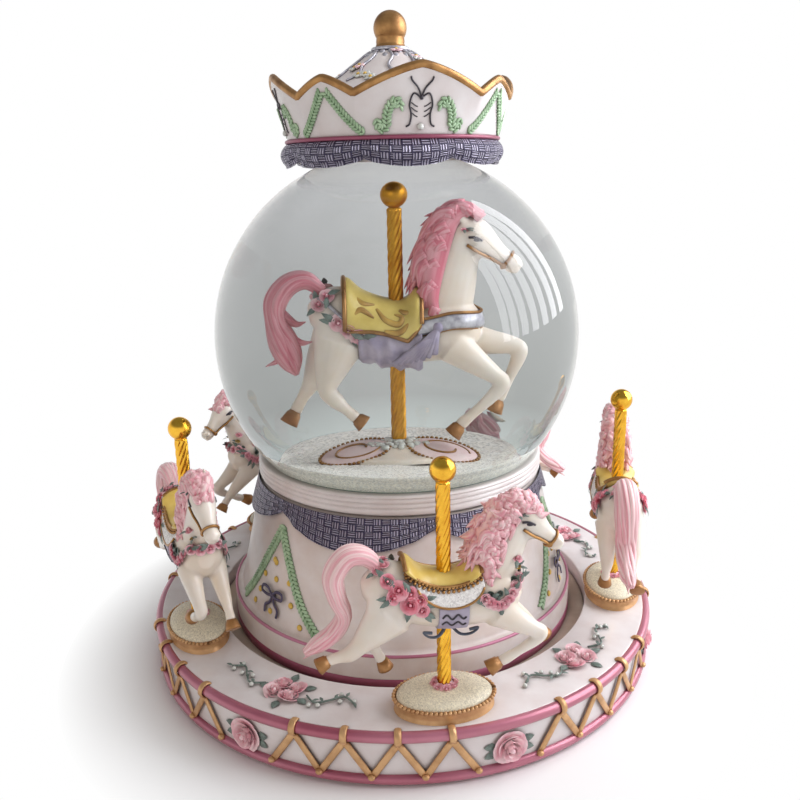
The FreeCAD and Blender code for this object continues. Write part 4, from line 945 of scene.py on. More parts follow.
@dataclass
class Drape:
    """Woven valance hanging in even swags round a turned form."""

    first_cusp: float
    swags: int
    top: float
    cusp: float
    belly: float
    radius: Callable[[float], float]
    bulge: float
    roll: float = 0.0
    stand: float = 0.75
    tuck: float = 0.9
    fold: float = 0.32
    block: tuple[float, float] = (2.1, 1.65)

    def hem(self, degrees: float) -> tuple[float, float]:
        """Lower edge at an angle.

        Args:
            degrees: Angle round the form.

        Returns:
            Height of the edge, and how far along its swag that is.
        """
        pitch = 360.0 / self.swags
        along = ((degrees - self.first_cusp) % pitch) / pitch
        depth = math.sin(math.pi * along) ** 0.75
        return self.cusp - (self.cusp - self.belly) * depth, along

    def stand_off(self, along: float, share: float) -> float:
        """How far the cloth stands off the form.

        Args:
            along: Share of the way along a swag.
            share: Share of the way down to the hem.

        Returns:
            Distance in millimetres.
        """
        middle = math.sin(math.pi * along)
        swell = self.bulge * middle * (0.25 + 0.75 * min(share, 1.0))
        swell += self.roll * (0.55 + 0.45 * middle) * math.sin(math.pi * min(share, 0.94)) ** 0.7
        return self.stand + swell + self.fold * math.cos(16 * math.pi * along) * (1 - middle) ** 1.5 * share

    def build(self) -> Surface:
        """Makes the valance with its folds, a turned-in hem and its weave coordinates.

        Returns:
            The valance as one open sheet.
        """
        shares = np.concatenate([np.linspace(0, 1, 13), [1.03, 1.0]])
        tucks = [0.0] * (len(shares) - 1) + [self.tuck]
        rows, pattern = [], []
        for share, tuck in zip(shares, tucks):
            row, marks = [], []
            for degrees in np.linspace(0, 360, 541):
                low, along = self.hem(degrees)
                z = self.top + (low - self.top) * share
                out = self.radius(z) + self.stand_off(along, share) - tuck
                row.append(round_point(out, degrees, z))
                arc = math.radians(degrees) * self.radius(self.top)
                marks.append((arc / self.block[0], share * (self.top - self.belly) / self.block[1]))
            rows.append(row)
            pattern.append(marks)
        return Surface().net(np.array(rows), ring=False, grain=np.array(pattern))


@dataclass
class Drum:
    """Tapered drum on a step, with woven swags, plaited braids, dots and bows."""

    foot: float = 19.1
    top: float = 52.0
    foot_radius: float = 47.6
    top_radius: float = 39.8
    lean: float = 0.23
    hole: float = 20.0
    step_radius: float = 49.7
    deck: float = 10.0
    band_top: float = 12.7
    swags: int = 6
    first_cusp: float = 12.0
    braids: int = 3
    first_braid: float = -48.0
    braid_width: float = 2.7
    dots: int = 11
    dot_size: tuple[float, float, float] = (0.85, 0.85, 0.45)
    dot_foot: float = 21.6
    dot_pitch: float = 4.6
    dot_apex: float = 41.0
    dot_depth: float = 19.0
    dot_spread: float = 12.0
    bow_height: float = 26.6
    bow_size: float = 4.4
    collar_radius: float = 40.5
    collar_top: float = 57.7
    grooves: int = 3
    groove_pitch: float = 1.25
    seal_radius: float = 37.0

    def wall(self, z: float) -> float:
        """Radius of the drum's wall at a height."""
        share = (z - self.foot) / (self.top - self.foot)
        return self.foot_radius + (self.top_radius - self.foot_radius) * share

    def spot(self, degrees: float, z: float, lift: float = 0.0) -> np.ndarray:
        """Point on the drum's wall."""
        return round_point(self.wall(z) + lift, degrees, z)

    def outward(self, point: np.ndarray) -> np.ndarray:
        """Direction away from the drum's wall."""
        return unit(unit(point * LEVEL) + np.array([0.0, 0.0, self.lean]))

    def build(self) -> None:
        """Makes every piece of the drum."""
        profile = rounded(((self.hole, self.deck), (self.step_radius, self.deck),
                           (self.step_radius, self.foot), (self.foot_radius, self.foot + 0.15),
                           (self.top_radius, self.top), (self.hole, self.top)), 0.8)
        show("drum_wall", lathe(profile), Paint.IVORY, replaces=("drum_body",))
        low, inside, outside = self.deck + 0.1, self.step_radius - 0.5, self.step_radius + 0.12
        band = ((inside, low), (outside, low), (outside, self.band_top), (inside, self.band_top + 0.1))
        show("drum_raspberry_band", lathe(band), Paint.RASPBERRY)
        show("drum_pink_line", hoop(self.foot_radius + 1.75, self.foot - 0.15, 0.42), Paint.LINE)
        self.dress()
        self.collar()

    def dress(self) -> None:
        """Hangs the swags, braids, dots and bows on the wall."""
        swags = Drape(self.first_cusp, self.swags, self.top - 0.1, self.top - 2.6, self.top - 8.4,
                      self.wall, 0.7)
        show("drum_swags", swags.build(), Paint.WEAVE, replaces=("drum_drape",))
        plait, dots, bows = Surface(), Surface(), Surface()
        chance = np.random.default_rng(SEED)
        leg = smooth_curve([(0, 44.5), (7, 35), (13.5, 26.5), (21, 19.9)], 8)
        for braid in range(self.braids):
            middle = self.first_braid + 360.0 * braid / self.braids
            for side in (-1, 1):
                path = np.array([self.spot(middle + side * x, z, 0.2) for x, z in leg])
                plait.join(herringbone(path, self.outward, self.braid_width))
            for k in range(self.dots):
                z = self.dot_foot + self.dot_pitch * (k // 3) + chance.uniform(-0.6, 0.6)
                reach = self.dot_spread * (self.dot_apex - z) / self.dot_depth
                at = self.spot(middle + reach * (k % 3 - 1) + chance.uniform(-1.5, 1.5), z, 0.15)
                dots.join(ellipsoid(self.dot_size, 10), facing(at, self.outward(at)))
            at = self.spot(middle, self.bow_height, 0.35)
            bows.join(ribbon_bow(self.bow_size), facing(at, self.outward(at)))
        show("drum_braids", plait, Paint.BRAID)
        show("drum_dots", dots, Paint.DOT)
        show("drum_bows", bows, Paint.BOW)

    def collar(self) -> None:
        """Makes the grooved collar that the globe sits in, with its clear seal."""
        r, low, high = self.collar_radius, self.top + 0.2, self.collar_top
        outline = [(34.0, low), (r - 0.9, low), (r - 0.25, low + 0.5)]
        for k in range(self.grooves):
            z = low + 1.2 + self.groove_pitch * k
            outline += [(r, z), (r, z + 0.55), (r - 0.24, z + 0.9), (r - 0.24, z + 1.05)]
        outline += [(r, high - 0.5), (r - 0.4, high), (37.6, high), (36.8, low + 3.0)]
        show("globe_collar_ring", lathe(rounded(outline, 0.4, 3)), Paint.WHITE, replaces=("globe_collar",))
        show("globe_seal", hoop(self.seal_radius, high - 0.1, 0.9), Paint.SEAL)


@dataclass
class Globe:
    """Water globe: one clear ball, closed at its mouth by the stopper under the snow."""

    centre: float = 89.905
    radius: float = 50.0
    mouth: float = 56.2
    water_ior: float = 1.33
    # The low tint and the darkening towards the left are painted shade in the glass.
    low_painted_shade_tint: tuple[float, ...] = (0.35, 0.37, 0.355, 1.0)
    high_tint: tuple[float, ...] = (0.57, 0.58, 0.59, 1.0)
    snow_tint: tuple[float, ...] = (0.84, 0.96, 0.94, 1.0)
    lamp_tint: tuple[float, ...] = (0.88, 0.89, 0.90, 1.0)

    def smears(self) -> bpy.types.NodeTree:
        """Faint smears, and a grey tint with painted shade that deepens it downwards and to the left, paler
        teal-white just above the mouth.

        Returns:
            The node group's tree.
        """
        group = NodeGroup("glass_smears", {"Scale": ("NodeSocketFloat", 40.0)},
                          {"Tint": "NodeSocketColor", "Roughness": "NodeSocketFloat"})
        place = group.place()
        patches = group.noise(place, group.given["Scale"], 3.0)
        parts = group.parts(place)
        ripple = group.remap(patches, 0.0, 1.0, -0.012, 0.012)
        # Painted shade: the tint darkens downwards from the high tint to the low one.
        share = group.remap(group.maths("ADD", parts[2], ripple), 0.062, 0.13)
        tint = group.blend(share, self.low_painted_shade_tint, self.high_tint)
        tint = group.blend(group.remap(parts[2], 0.060, 0.069), self.snow_tint, tint)
        # Painted shade: the tint darkens towards the left.
        left_painted_shade = group.remap(group.maths("ADD", parts[0], ripple), -0.05, 0.0, 0.72, 1.0)
        return group.close(Tint=group.scaled(tint, left_painted_shade),
                           Roughness=group.remap(patches, 0.45, 0.8, 0.0, 0.03))

    def material(self) -> bpy.types.Material:
        """Clear glass that lets lamps through to what is inside it.

        Returns:
            The new material.
        """
        made = bpy.data.materials.new("clear_glass")
        made.use_nodes = True
        nodes = Nodes(made.node_tree)
        shader = made.node_tree.nodes["Principled BSDF"]
        smears = nodes.shared(self.smears())
        nodes.feed(shader, {"Transmission Weight": 1.0, "IOR": self.water_ior,
                            "Base Color": smears["Tint"], "Roughness": smears["Roughness"]})
        clear = nodes.node("ShaderNodeBsdfTransparent", {"Color": self.lamp_tint})
        rays = nodes.node("ShaderNodeLightPath").outputs
        mix = nodes.node("ShaderNodeMixShader", {0: rays["Is Shadow Ray"], 1: shader.outputs[0],
                                                 2: clear.outputs[0]})
        nodes.feed(made.node_tree.nodes["Material Output"], {"Surface": mix.outputs[0]})
        return made

    def build(self) -> None:
        """Makes the globe's outer skin."""
        start = math.asin((self.mouth - self.centre) / self.radius)
        profile = [(max(self.radius * math.cos(a), 0.02), self.centre + self.radius * math.sin(a))
                   for a in np.linspace(start, math.pi / 2, 72)]
        mesh = lathe(profile, 192).mesh("globe_skin")
        mesh.materials.append(self.material())
        show("globe_skin", mesh, Paint.WHITE, replaces=("glass_globe",))


@dataclass
class Crown:
    """Scalloped crown over the globe: drape, flared band with a gilt rim, flowered roof and finial."""

    foot: float = 141.7
    valley: float = 151.5
    foot_radius: float = 27.4
    rim_radius: float = 31.2
    wall: float = 1.7
    rim_thick: float = 1.0
    wide_rise: float = 5.8
    narrow_rise: float = 3.6
    first_middle: float = 13.5
    scallops: int = 4
    wide: float = 60.0
    narrow: float = 30.0
    first_cusp: float = -14.0
    swags: int = 8
    plait_width: float = 2.1
    scroll_width: float = 2.2
    strand_half: float = 0.21
    hatch_half: float = 0.13
    roof_top: float = 164.1
    flowers: int = 54
    flower_turn: float = 137.5
    lace_loops: int = 16
    ridges: int = 10
    ridge_half: float = 0.34
    finial_centre: float = 169.3
    finial_radius: float = 4.25

    def rise(self, degrees: float) -> float:
        """Height of the rim above its valleys.

        Args:
            degrees: Angle round the crown.

        Returns:
            Height in millimetres.
        """
        turn = (degrees - self.first_middle + self.wide / 2) % (self.wide + self.narrow)
        if turn < self.wide:
            return self.wide_rise * (1 - abs(2 * turn / self.wide - 1) ** 1.3)
        return self.narrow_rise * (1 - abs(2 * (turn - self.wide) / self.narrow - 1) ** 1.3)

    def spot(self, degrees: float, share: float, lift: float = 0.0) -> np.ndarray:
        """Point on the band's outside.

        Args:
            degrees: Angle round the crown.
            share: Share of the height.
            lift: Distance off the band.

        Returns:
            The point.
        """
        top = self.valley + self.rise(degrees)
        flare = (self.rim_radius - self.foot_radius) * share ** 1.3
        return round_point(self.foot_radius + flare + lift, degrees, self.foot + share * (top - self.foot))

    @staticmethod
    def outward(point: np.ndarray) -> np.ndarray:
        """Direction away from the band."""
        return unit(np.array([point[0], point[1], -9.0]))

    def line(self, middle: float, points: Sequence[Sequence[float]], lift: float) -> np.ndarray:
        """Smooth line on the band through (degrees from a middle, share of height) points."""
        return np.array([self.spot(middle + x, v, lift) for x, v in smooth_curve(points, 8)])

    def build(self) -> None:
        """Makes every piece of the crown."""
        angles = np.linspace(0, 360, 360, endpoint=False)
        shares = np.linspace(0, 1, 15)
        outside = [[self.spot(d, s) for d in angles] for s in shares]
        inside = [[self.spot(d, s, -self.wall) for d in angles] for s in shares[::-1]]
        band = Surface().net(np.array(outside + inside), loop=True)
        show("crown_band_skin", band, Paint.WHITE, replaces=("crown_band",))
        rim = np.array([self.spot(d, 1.0, -0.8) for d in angles])
        show("crown_rim", sweep(rim, self.rim_thick, 12, loop=True), Paint.OLD_GOLD)
        show("crown_pink_line", hoop(self.foot_radius + 0.3, self.foot + 0.2, 0.5), Paint.RASPBERRY)
        drape = Drape(self.first_cusp, self.swags, self.foot - 0.1, self.foot - 4.4, self.foot - 6.2,
                      lambda z: self.foot_radius - 0.9, 0.2, 2.1)
        show("crown_swags", drape.build(), Paint.WEAVE, replaces=("crown_drape",))
        self.dress()
        self.roof()
        self.finial()

    def dress(self) -> None:
        """Lays braids, scrolls, bows and pearls on the band."""
        plait, scrolls, bows, pearls = Surface(), Surface(), Surface(), Surface()
        leg = ((17, 0.14), (9, 0.45), (0.5, 0.82))
        curl = ((20.5, 0.30), (19.4, 0.16), (16.4, 0.19), (16, 0.36), (14.6, 0.50), (12, 0.58),
                (9.8, 0.51), (10.8, 0.41))
        pitch = self.wide + self.narrow
        for k in range(self.scallops):
            middle = self.first_middle + pitch * k
            for side in (-1, 1):
                path = self.line(middle + pitch / 2, [(side * x, v) for x, v in leg], 0.15)
                plait.join(herringbone(path, self.outward, self.plait_width))
                path = self.line(middle, [(side * x, v) for x, v in curl], 0.15)
                scrolls.join(herringbone(path, self.outward, self.scroll_width))
            bows.join(self.strands(middle))
            pearls.join(ellipsoid((0.8, 0.8, 0.8), 10), facing(self.spot(middle, 0.15, 0.3)))
        show("crown_braids", plait, Paint.BRAID)
        show("crown_scrolls", scrolls, Paint.BRAID)
        show("crown_bows", bows, Paint.INK)
        show("crown_pearls", pearls, Paint.PEARL)

    def strands(self, middle: float) -> Surface:
        """Bow of thin painted strands: two feelers up, two loops down with hatching in them.

        Args:
            middle: Angle of the bow's knot.

        Returns:
            The bow on the band.
        """
        out = Surface()
        for side in (-1, 1):
            feeler = ((0, 0.55), (side * 1.6, 0.68), (side * 4.4, 0.80), (side * 5.0, 0.86))
            loop = ((0, 0.54), (side * 3.6, 0.62), (side * 5.4, 0.48), (side * 4.6, 0.34),
                    (side * 5.2, 0.20), (side * 7.0, 0.16))
            for points in (feeler, loop):
                out.join(sweep(self.line(middle, points, 0.1), self.strand_half, 6))
            for v in (0.50, 0.43, 0.36):
                hatch = ((side * 1.6, v - 0.07), (side * 2.8, v - 0.05), (side * 4.6, v))
                out.join(sweep(self.line(middle, hatch, 0.06), self.hatch_half, 6))
        return out.join(ellipsoid((0.5, 0.5, 0.6), 8), facing(self.spot(middle, 0.55, 0.15)))

    def roof(self) -> None:
        """Makes the flowered roof and its lace collar."""
        slope = smooth_curve([(28.3, 150.9), (24.5, 152.2), (19.0, 154.6), (14.0, 157.3), (9.6, 160.4),
                              (6.6, 162.6), (4.4, 163.7), (3.0, self.roof_top)], 6)
        show("crown_roof_skin", lathe(slope), Paint.WHITE, replaces=("crown_roof",))
        pale, pink, hearts, lace = Surface(), Surface(), Surface(), Surface()
        chance = np.random.default_rng(SEED + 1)
        for k in range(self.flowers):
            index = int(chance.uniform(0.16, 0.80) * (len(slope) - 1))
            at = round_point(slope[index][0], self.flower_turn * k, slope[index][1] + 0.2)
            normal = unit(np.array([at[0], at[1], 26.0]))
            for j in range(5):
                place = facing(at, normal, 72 * j) @ facing((0.95, 0, 0.1))
                (pink if k % 3 == 0 else pale).join(ellipsoid((0.8, 0.6, 0.35), 8), place)
            hearts.join(ellipsoid((0.5, 0.5, 0.45), 8), facing(at + normal * 0.25, normal))
        for row, (radius, z) in enumerate(((5.4, 163.0), (6.9, 162.0))):
            for k in range(self.lace_loops):
                at = round_point(radius, 360.0 * k / self.lace_loops + 11 * row, z)
                lace.join(ellipsoid((1.1, 0.8, 0.6), 10), facing(at, (at[0], at[1], 6.0), 90))
        for k in range(self.ridges):
            start = 360.0 * k / self.ridges
            ridge = [round_point(r, start + 3 * math.sin(r), z + 0.25) for r, z in slope[14:34]]
            lace.join(sweep(np.array(ridge), self.ridge_half, 6))
        show("crown_pale_flowers", pale, Paint.PEARL)
        show("crown_pink_flowers", pink, Paint.ROSE)
        show("crown_flower_hearts", hearts, Paint.DOT)
        show("crown_lace", lace.join(hoop(4.5, self.roof_top, 0.55, 64)), Paint.SILVER)

    def finial(self) -> None:
        """Makes the ball on its neck."""
        low, roof = self.finial_centre - self.finial_radius, self.roof_top
        neck = [(0.02, roof - 0.4), (4.4, roof - 0.3), (4.4, roof + 0.4), (3.8, roof + 0.8),
                (3.6, low + 0.5), (3.65, low + 1.0)]
        ball = [(self.finial_radius * math.cos(a), self.finial_centre + self.finial_radius * math.sin(a))
                for a in np.linspace(-0.58, math.pi / 2 - 0.01, 28)]
        show("crown_finial", lathe(neck + ball, 64), Paint.OLD_GOLD, replaces=("finial",))


@dataclass
class Pole:
    """Twisted pole with a ball on top, drawn about the Z axis."""

    foot: float
    shoulder: float
    ball: float
    radius: float
    ball_radius: float
    flutes: int = 8
    spacing: float = 2.5
    sides: int = 64
    step: float = 0.25

    def build(self) -> Surface:
        """Makes the twisted rod, its neck and its ball.

        Returns:
            The pole as one closed form.
        """
        turn = full_turn(self.sides)
        rows = []
        for z in np.arange(self.foot, self.shoulder, self.step):
            wave = 0.5 - 0.5 * np.cos(self.flutes * turn - 2 * math.pi * z / self.spacing)
            r = self.radius * (0.84 + 0.20 * np.sqrt(wave))
            rows.append(np.stack([r * np.cos(turn), r * np.sin(turn), np.full(self.sides, z)], 1))
        for a in np.linspace(-math.acos(0.45) - 0.1, math.pi / 2 - 0.02, 18):
            r, z = self.ball_radius * math.cos(a), self.ball + self.ball_radius * math.sin(a)
            rows.append(np.stack([r * np.cos(turn), r * np.sin(turn), np.full(self.sides, z)], 1))
        return Surface().net(np.array(rows))


class Dress(Enum):
    """How a horse is dressed."""

    GARLANDED = "garlanded"
    DRAPED = "draped"


Station = tuple[float, float, float, float]
Point = tuple[float, float]


@dataclass(frozen=True)
class Pose:
    """Lines of a carousel horse, drawn facing +X about its pole.

    A station is forward, up, half depth and half width; a hoof is its two ends, forward and up. Wisps are
    the loose strands of the tail.
    """

    neck: tuple[Station, ...]
    head: tuple[Station, ...]
    mane: tuple[Station, ...]
    tail: tuple[Station, ...]
    wisps: tuple[tuple[Point, ...], ...]
    near_fore: tuple[Station, ...]
    far_fore: tuple[Station, ...]
    near_hind: tuple[Station, ...]
    far_hind: tuple[Station, ...]
    hooves: tuple[Station, ...]
    eye: Point
    ear: Point
    dress: Dress


TORSO: tuple[Station, ...] = (
    (-18.4, 2.6, 1.4, 1.3), (-17.2, 2.8, 4.0, 3.5), (-13.8, 2.7, 6.6, 5.6), (-9.0, 1.6, 6.6, 6.1),
    (-2.0, -0.6, 6.3, 6.1), (5.0, -0.7, 6.6, 6.3), (11.0, 0.4, 7.0, 5.9), (15.4, 0.8, 5.2, 4.5),
    (17.6, 1.0, 2.4, 2.2))
GALLOP = Pose(
    neck=((8.5, 0.5, 6.8, 4.8), (11.8, 6.6, 5.6, 4.1), (14.4, 11.8, 4.6, 3.3), (16.4, 15.8, 3.9, 2.9),
          (17.8, 18.6, 2.8, 2.5)),
    head=((16.2, 19.8, 2.2, 2.1), (18.7, 17.4, 3.7, 3.0), (20.6, 15.4, 3.3, 2.75), (22.6, 13.5, 2.4, 2.1),
          (24.4, 11.9, 1.95, 1.8), (26.0, 10.5, 2.0, 1.85), (27.1, 9.5, 1.2, 1.3)),
    mane=((21.0, 18.6, 1.0, 1.6), (18.2, 21.4, 1.9, 2.3), (14.4, 19.8, 3.0, 3.2), (11.2, 15.6, 3.5, 3.8),
          (9.6, 10.2, 3.6, 4.5), (9.4, 5.0, 2.4, 4.9)),
    tail=((-14.2, 8.0, 1.4, 1.5), (-17.6, 11.2, 2.1, 2.6), (-21.4, 11.4, 2.5, 3.4), (-24.4, 7.4, 2.5, 3.5),
          (-23.9, 2.2, 2.1, 3.3), (-22.6, -2.3, 1.8, 3.2), (-25.0, -6.2, 2.0, 2.6), (-28.8, -8.8, 1.8, 1.8),
          (-31.6, -10.2, 0.7, 0.6)),
    wisps=(((-22.8, -2.6), (-26.0, -7.6), (-30.6, -7.8)), ((-23.4, 1.0), (-21.8, -2.6), (-22.8, -6.4)),
           ((-23.6, -4.6), (-27.6, -9.4), (-32.0, -12.0))),
    near_fore=((11.5, -3.0, 4.2, 3.0), (15.8, -6.2, 2.9, 2.3), (20.0, -8.8, 1.95, 1.7),
               (21.8, -10.0, 1.8, 1.6), (20.4, -11.9, 1.45, 1.35), (17.0, -14.0, 1.1, 1.05),
               (13.8, -15.8, 1.3, 1.2), (12.2, -16.5, 1.1, 1.1)),
    far_fore=((11.5, -3.0, 4.0, 2.8), (16.0, -6.6, 2.7, 2.1), (19.6, -9.4, 1.8, 1.6),
              (22.0, -11.6, 1.2, 1.15), (23.4, -13.0, 1.3, 1.2), (23.9, -13.6, 1.1, 1.1)),
    near_hind=((-12.5, -1.5, 5.8, 3.5), (-16.6, -5.6, 3.8, 2.7), (-19.8, -8.8, 2.2, 1.9),
               (-21.8, -10.4, 1.9, 1.6), (-24.4, -11.0, 1.3, 1.2), (-26.2, -11.4, 1.3, 1.25),
               (-26.8, -11.6, 1.1, 1.1)),
    far_hind=((-11.5, -1.5, 5.2, 3.3), (-14.4, -6.8, 3.3, 2.4), (-16.4, -11.2, 1.9, 1.7),
              (-15.2, -14.6, 1.2, 1.15), (-14.2, -16.7, 1.3, 1.2), (-13.9, -17.2, 1.1, 1.1)),
    hooves=((12.5, -16.3, 9.6, -18.0), (23.6, -13.3, 25.2, -15.2), (-26.4, -11.4, -28.8, -12.8),
            (-14.0, -16.9, -13.1, -19.3)),
    eye=(18.9, 16.7), ear=(16.4, 21.6), dress=Dress.GARLANDED)
TROT = Pose(
    neck=((8.5, 0.5, 6.8, 4.8), (11.0, 7.6, 5.7, 4.1), (12.8, 13.6, 4.7, 3.3), (14.4, 18.4, 4.0, 2.9),
          (15.2, 21.4, 2.8, 2.5)),
    head=((13.8, 22.4, 2.2, 2.1), (16.4, 20.0, 3.7, 3.0), (18.6, 18.0, 3.3, 2.75), (21.0, 16.0, 2.4, 2.1),
          (23.2, 14.3, 1.95, 1.8), (25.0, 12.9, 2.0, 1.85), (26.1, 12.0, 1.2, 1.3)),
    mane=((18.4, 23.4, 0.9, 1.4), (15.4, 25.2, 1.7, 2.3), (11.4, 23.2, 2.9, 3.3), (9.0, 18.0, 3.7, 3.9),
          (7.6, 12.0, 3.6, 4.6), (7.8, 6.2, 2.2, 5.0), (9.4, 2.6, 0.9, 5.2)),
    tail=((-15.4, 8.2, 1.2, 1.1), (-18.8, 10.6, 1.9, 1.6), (-22.4, 9.8, 2.3, 1.9), (-25.2, 6.4, 2.5, 2.0),
          (-25.4, 2.2, 2.2, 1.8), (-23.8, -2.4, 3.2, 2.0), (-22.4, -6.2, 2.6, 1.6), (-21.2, -9.2, 0.4, 0.3)),
    wisps=(((-24.0, -0.4), (-20.4, -2.4), (-17.8, -2.2)), ((-24.0, 3.2), (-21.1, 1.2), (-19.0, 1.4)),
           ((-24.0, -2.8), (-24.8, -6.0), (-27.6, -7.4))),
    near_fore=((11.5, -3.0, 4.2, 3.0), (16.4, -6.8, 2.9, 2.3), (20.6, -10.0, 1.9, 1.7),
               (22.0, -11.6, 1.8, 1.6), (19.8, -14.4, 1.4, 1.3), (16.2, -17.6, 1.1, 1.05),
               (13.4, -20.0, 1.3, 1.2), (12.9, -20.6, 1.1, 1.1)),
    far_fore=((12.0, -2.5, 4.0, 2.8), (18.6, -3.8, 2.8, 2.2), (24.2, -4.8, 1.9, 1.7), (25.4, -6.4, 1.7, 1.5),
              (23.2, -11.4, 1.15, 1.1), (21.0, -15.6, 1.3, 1.2), (20.6, -16.3, 1.1, 1.1)),
    near_hind=((-12.0, -1.5, 5.8, 3.5), (-14.0, -7.6, 3.7, 2.7), (-15.0, -12.2, 2.1, 1.8),
               (-13.2, -14.6, 1.8, 1.6), (-11.0, -16.6, 1.2, 1.15), (-9.2, -18.2, 1.3, 1.2),
               (-8.8, -18.6, 1.1, 1.1)),
    far_hind=((-12.5, -1.5, 5.4, 3.3), (-15.8, -7.0, 3.4, 2.5), (-18.0, -11.8, 2.0, 1.7),
              (-19.8, -14.8, 1.3, 1.2), (-21.2, -17.4, 1.3, 1.2), (-21.5, -17.9, 1.1, 1.1)),
    hooves=((13.1, -20.3, 11.3, -22.4), (20.8, -16.0, 19.6, -18.5), (-9.0, -18.4, -7.3, -19.8),
            (-21.3, -17.6, -22.7, -20.1)),
    eye=(17.4, 19.2), ear=(14.0, 24.6), dress=Dress.DRAPED)


def limb(stations: Sequence[Station], side: float = 0.0, steps: int = 6, sides: int = 20) -> Surface:
    """Rounded limb through ovals.

    Args:
        stations: Ovals in the horse's middle plane.
        side: Shift along Y.
        steps: Spans between two stations.
        sides: Points round the limb.

    Returns:
        The limb.
    """
    dense = smooth_curve(stations, steps)
    runs = np.gradient(dense[:, :2], axis=0)
    turn = full_turn(sides)
    rows = []
    for (forward, up, deep, wide), run in zip(dense, runs):
        run = unit(run)
        deep, wide = max(deep, 0.05), max(wide, 0.05)
        x = forward - run[1] * deep * np.cos(turn)
        z = up + run[0] * deep * np.cos(turn)
        rows.append(np.stack([x, side + wide * np.sin(turn), z], 1))
    return Surface().net(np.array(rows))


